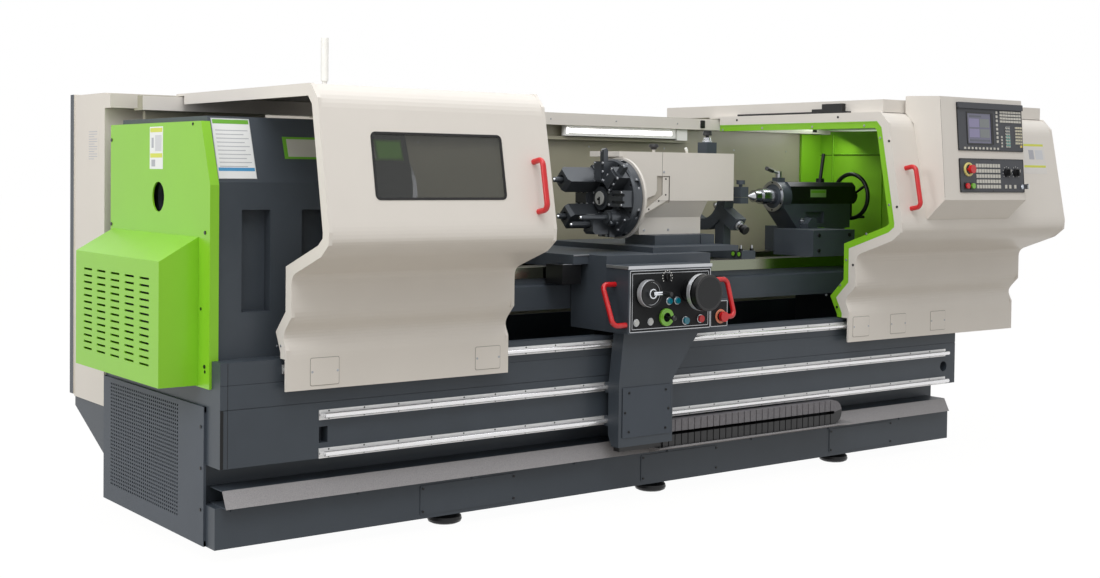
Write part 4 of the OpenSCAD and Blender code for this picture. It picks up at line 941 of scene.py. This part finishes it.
# ------------------------------------------------------------ the CAD solids
DRESS = {
    SLATE: "base_cabinet front_plates end_grille operator_box".split(),
    CAST: "bed headstock saddle cross_slide steady_rest tailstock_body chip_tray".split(),
    CREAM: "left_door_shell right_door_shell control_box turret_housing".split(),
    # the electrical cabinet: cream with painted side shade
    CREAM_SHADED_SIDE: ["electrical_cabinet"],
    GREEN: "end_cover vent_box right_door_liner".split(),
    # the rear splash guard: cream with painted shade
    WALL_CREAM_SHADE: ["splash_guard"],
    ALU: ["rail_supports"],
    SHAFT: ["rail_shafts"],
    CHROME: ["key_switch"],
    WAY: ["bed_ways"],
    TURNED: "spindle_shaft chuck_body chuck_jaws tail_quill live_centre steady_jaws".split(),
    STEEL: ["quill_lever"],
    OXIDE: "turret_disc tool_holders".split(),
    BLACK_AND_SHADE: "levelling_feet cover_screws tail_wheel clamp_lever cross_wheel long_wheel".split(),
    BLACK_PLASTIC: "cable_chain interlock_switch feed_knob speed_knob axis_selector "
                   "axis_joystick".split(),
    PANEL: ["operator_panel"],
    PANEL_GREY: ["control_panels"],
    KEY: ["control_keys"],
    RED: "left_door_handle right_door_handle carriage_handles estop_top stop_button panel_hold "
         "estop_low".split(),
    TEAL: ["panel_start"],
    LIME: ["start_button"],
    WHITE: "work_lamp signal_tower".split(),
    GLASS: ["left_window"],
}
SOFT_EDGE = {
    "base_cabinet": 0.003, "headstock": 0.006, "bed": 0.003, "saddle": 0.004,
    "operator_box": 0.004, "control_box": 0.006, "turret_housing": 0.004, "vent_box": 0.003,
    "end_cover": 0.003, "electrical_cabinet": 0.004, "cross_slide": 0.003,
    "tailstock_body": 0.006, "steady_rest": 0.003, "turret_disc": 0.004, "tool_holders": 0.002,
    "long_wheel": 0.003, "cross_wheel": 0.003, "tail_quill": 0.002, "live_centre": 0.001,
    "estop_top": 0.004, "estop_low": 0.004, "panel_start": 0.003, "panel_hold": 0.003,
    "start_button": 0.003, "stop_button": 0.003, "feed_knob": 0.001, "speed_knob": 0.001,
    "control_keys": 0.0006, "chip_tray": 0.001, "chuck_body": 0.003, "chuck_jaws": 0.002,
    "front_plates": 0.001, "levelling_feet": 0.002, "bed_ways": 0.001, "rail_supports": 0.0008,
    "control_panels": 0.001, "operator_panel": 0.0006, "right_door_liner": 0.0008,
    "left_door_shell": 0.0015, "right_door_shell": 0.0015, "interlock_switch": 0.002,
    "steady_jaws": 0.002, "tail_wheel": 0.001, "clamp_lever": 0.002, "quill_lever": 0.001,
    "splash_guard": 0.001, "work_lamp": 0.002, "signal_tower": 0.002,
}


def dress():
    """Each CAD solid gets its material and softened edges."""
    for mat, names in DRESS.items():
        for name in names:
            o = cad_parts[name]
            o.data.materials.clear()
            o.data.materials.append(mat)
            o.data.shade_smooth()
            o.data.set_sharp_from_angle(angle=math.radians(CAD_SMOOTH))
            if name in SOFT_EDGE:
                round_edges(o, SOFT_EDGE[name])


# ------------------------------------------------------------- stage, lamps
SKY = 0.575             # what lights the object; straight and mirrored rays see plain white
FLOOR_WHITE = 1.08      # the floor's own white, and its share, so that its shadow stays
FLOOR_SHARE = 0.9
FLOOR_HALF = 60.0
MIDDLE = (LOW + HIGH) / 2
# name, place, aim, size, power
LAMPS = (
    ("key", MIDDLE + Vector((-3.2, -4.6, 6.0)), MIDDLE, (5.0, 3.5), 202),
    ("top", MIDDLE + Vector((0.5, -1.0, 6.0)), MIDDLE, (7.0, 4.0), 144),
    ("side", MIDDLE + Vector((-6.5, -0.5, 2.2)), MIDDLE, (3.0, 3.0), 110),
    ("inside", at(3640, 560, 1640), at(3500, 850, 1000), (0.8, 0.25), 2.4),
)
CAMERA_PLACE = (-2225, -4898, 1411)
CAMERA_TURN = (37.09, -1.555, 0.671)    # yaw, pitch and roll in degrees
LENS, SENSOR, SHIFT = 48.63, 36, -0.0697


def area_lamp(name, place, aim, size, power):
    data = bpy.data.lights.new(name, "AREA")
    data.shape = "RECTANGLE"
    data.size, data.size_y = size
    data.energy = power
    o = bpy.data.objects.new(name, data)
    o.location = place
    o.rotation_mode = "QUATERNION"
    o.rotation_quaternion = (Vector(aim) - Vector(place)).to_track_quat("-Z", "Y")
    o.visible_camera = False
    bpy.context.collection.objects.link(o)


def backdrop_rays(nodes, links, share=1.0):
    """1 for the rays that show the plain background: straight, mirrored and through glass."""
    path = nodes.new("ShaderNodeLightPath")
    total = path.outputs["Is Camera Ray"]
    for name in ("Is Glossy Ray", "Is Transmission Ray"):
        add = nodes.new("ShaderNodeMath")
        add.operation = "ADD"
        add.use_clamp = True
        links.new(total, add.inputs[0])
        links.new(path.outputs[name], add.inputs[1])
        total = add.outputs[0]
    fade = nodes.new("ShaderNodeMath")
    fade.operation = "MULTIPLY"
    fade.inputs[1].default_value = share
    links.new(total, fade.inputs[0])
    return fade.outputs[0]


def stage():
    """A white world and floor, and the lamps."""
    world = bpy.data.worlds.new("studio")
    bpy.context.scene.world = world
    world.use_nodes = True
    nodes, links = world.node_tree.nodes, world.node_tree.links
    back = nodes["Background"]
    back.inputs["Color"].default_value = (1, 1, 1, 1)
    back.inputs["Strength"].default_value = SKY
    plain = nodes.new("ShaderNodeBackground")
    plain.inputs["Color"].default_value = (1, 1, 1, 1)
    plain.inputs["Strength"].default_value = 1.0
    mix = nodes.new("ShaderNodeMixShader")
    links.new(backdrop_rays(nodes, links), mix.inputs["Fac"])
    links.new(back.outputs["Background"], mix.inputs[1])
    links.new(plain.outputs["Background"], mix.inputs[2])
    links.new(mix.outputs["Shader"], nodes["World Output"].inputs["Surface"])

    floor = material("pale_floor", (174, 168, 159), 0.9, mottle=0)
    fn, fl = floor.node_tree.nodes, floor.node_tree.links
    white = fn.new("ShaderNodeEmission")
    white.inputs["Color"].default_value = (1, 1, 1, 1)
    white.inputs["Strength"].default_value = FLOOR_WHITE
    blend = fn.new("ShaderNodeMixShader")
    fl.new(backdrop_rays(fn, fl, FLOOR_SHARE), blend.inputs["Fac"])
    fl.new(fn["Principled BSDF"].outputs["BSDF"], blend.inputs[1])
    fl.new(white.outputs["Emission"], blend.inputs[2])
    fl.new(blend.outputs["Shader"], fn["Material Output"].inputs["Surface"])
    bm = bmesh.new()
    s = FLOOR_HALF
    bm.faces.new([bm.verts.new(c) for c in ((-s, -s, 0), (s, -s, 0), (s, s, 0), (-s, s, 0))])
    o = finish_mesh("studio_floor", bm, floor, None, 0)
    for lamp in LAMPS:
        area_lamp(*lamp)


def camera():
    """The camera fitted to the machine's own straight edges in the photograph."""
    yaw, pitch, roll = (math.radians(a) for a in CAMERA_TURN)
    ahead = Vector((math.sin(yaw) * math.cos(pitch), math.cos(yaw) * math.cos(pitch),
                    math.sin(pitch)))
    flat = Vector((math.cos(yaw), -math.sin(yaw), 0))
    rise = flat.cross(ahead)
    right = flat * math.cos(roll) + rise * math.sin(roll)
    up = rise * math.cos(roll) - flat * math.sin(roll)
    m = Matrix((right, up, -ahead)).transposed().to_4x4()
    m.translation = at(*CAMERA_PLACE)
    data = bpy.data.cameras.new("camera")
    data.sensor_width = SENSOR
    data.lens = LENS
    data.shift_y = SHIFT
    data.clip_end = 200
    o = bpy.data.objects.new("camera", data)
    bpy.context.collection.objects.link(o)
    o.matrix_world = m
    scene = bpy.context.scene
    scene.camera = o
    scene.render.resolution_x = 1100
    scene.render.resolution_y = 578
    scene.view_settings.view_transform = "Standard"


dress()
details()
stage()
camera()
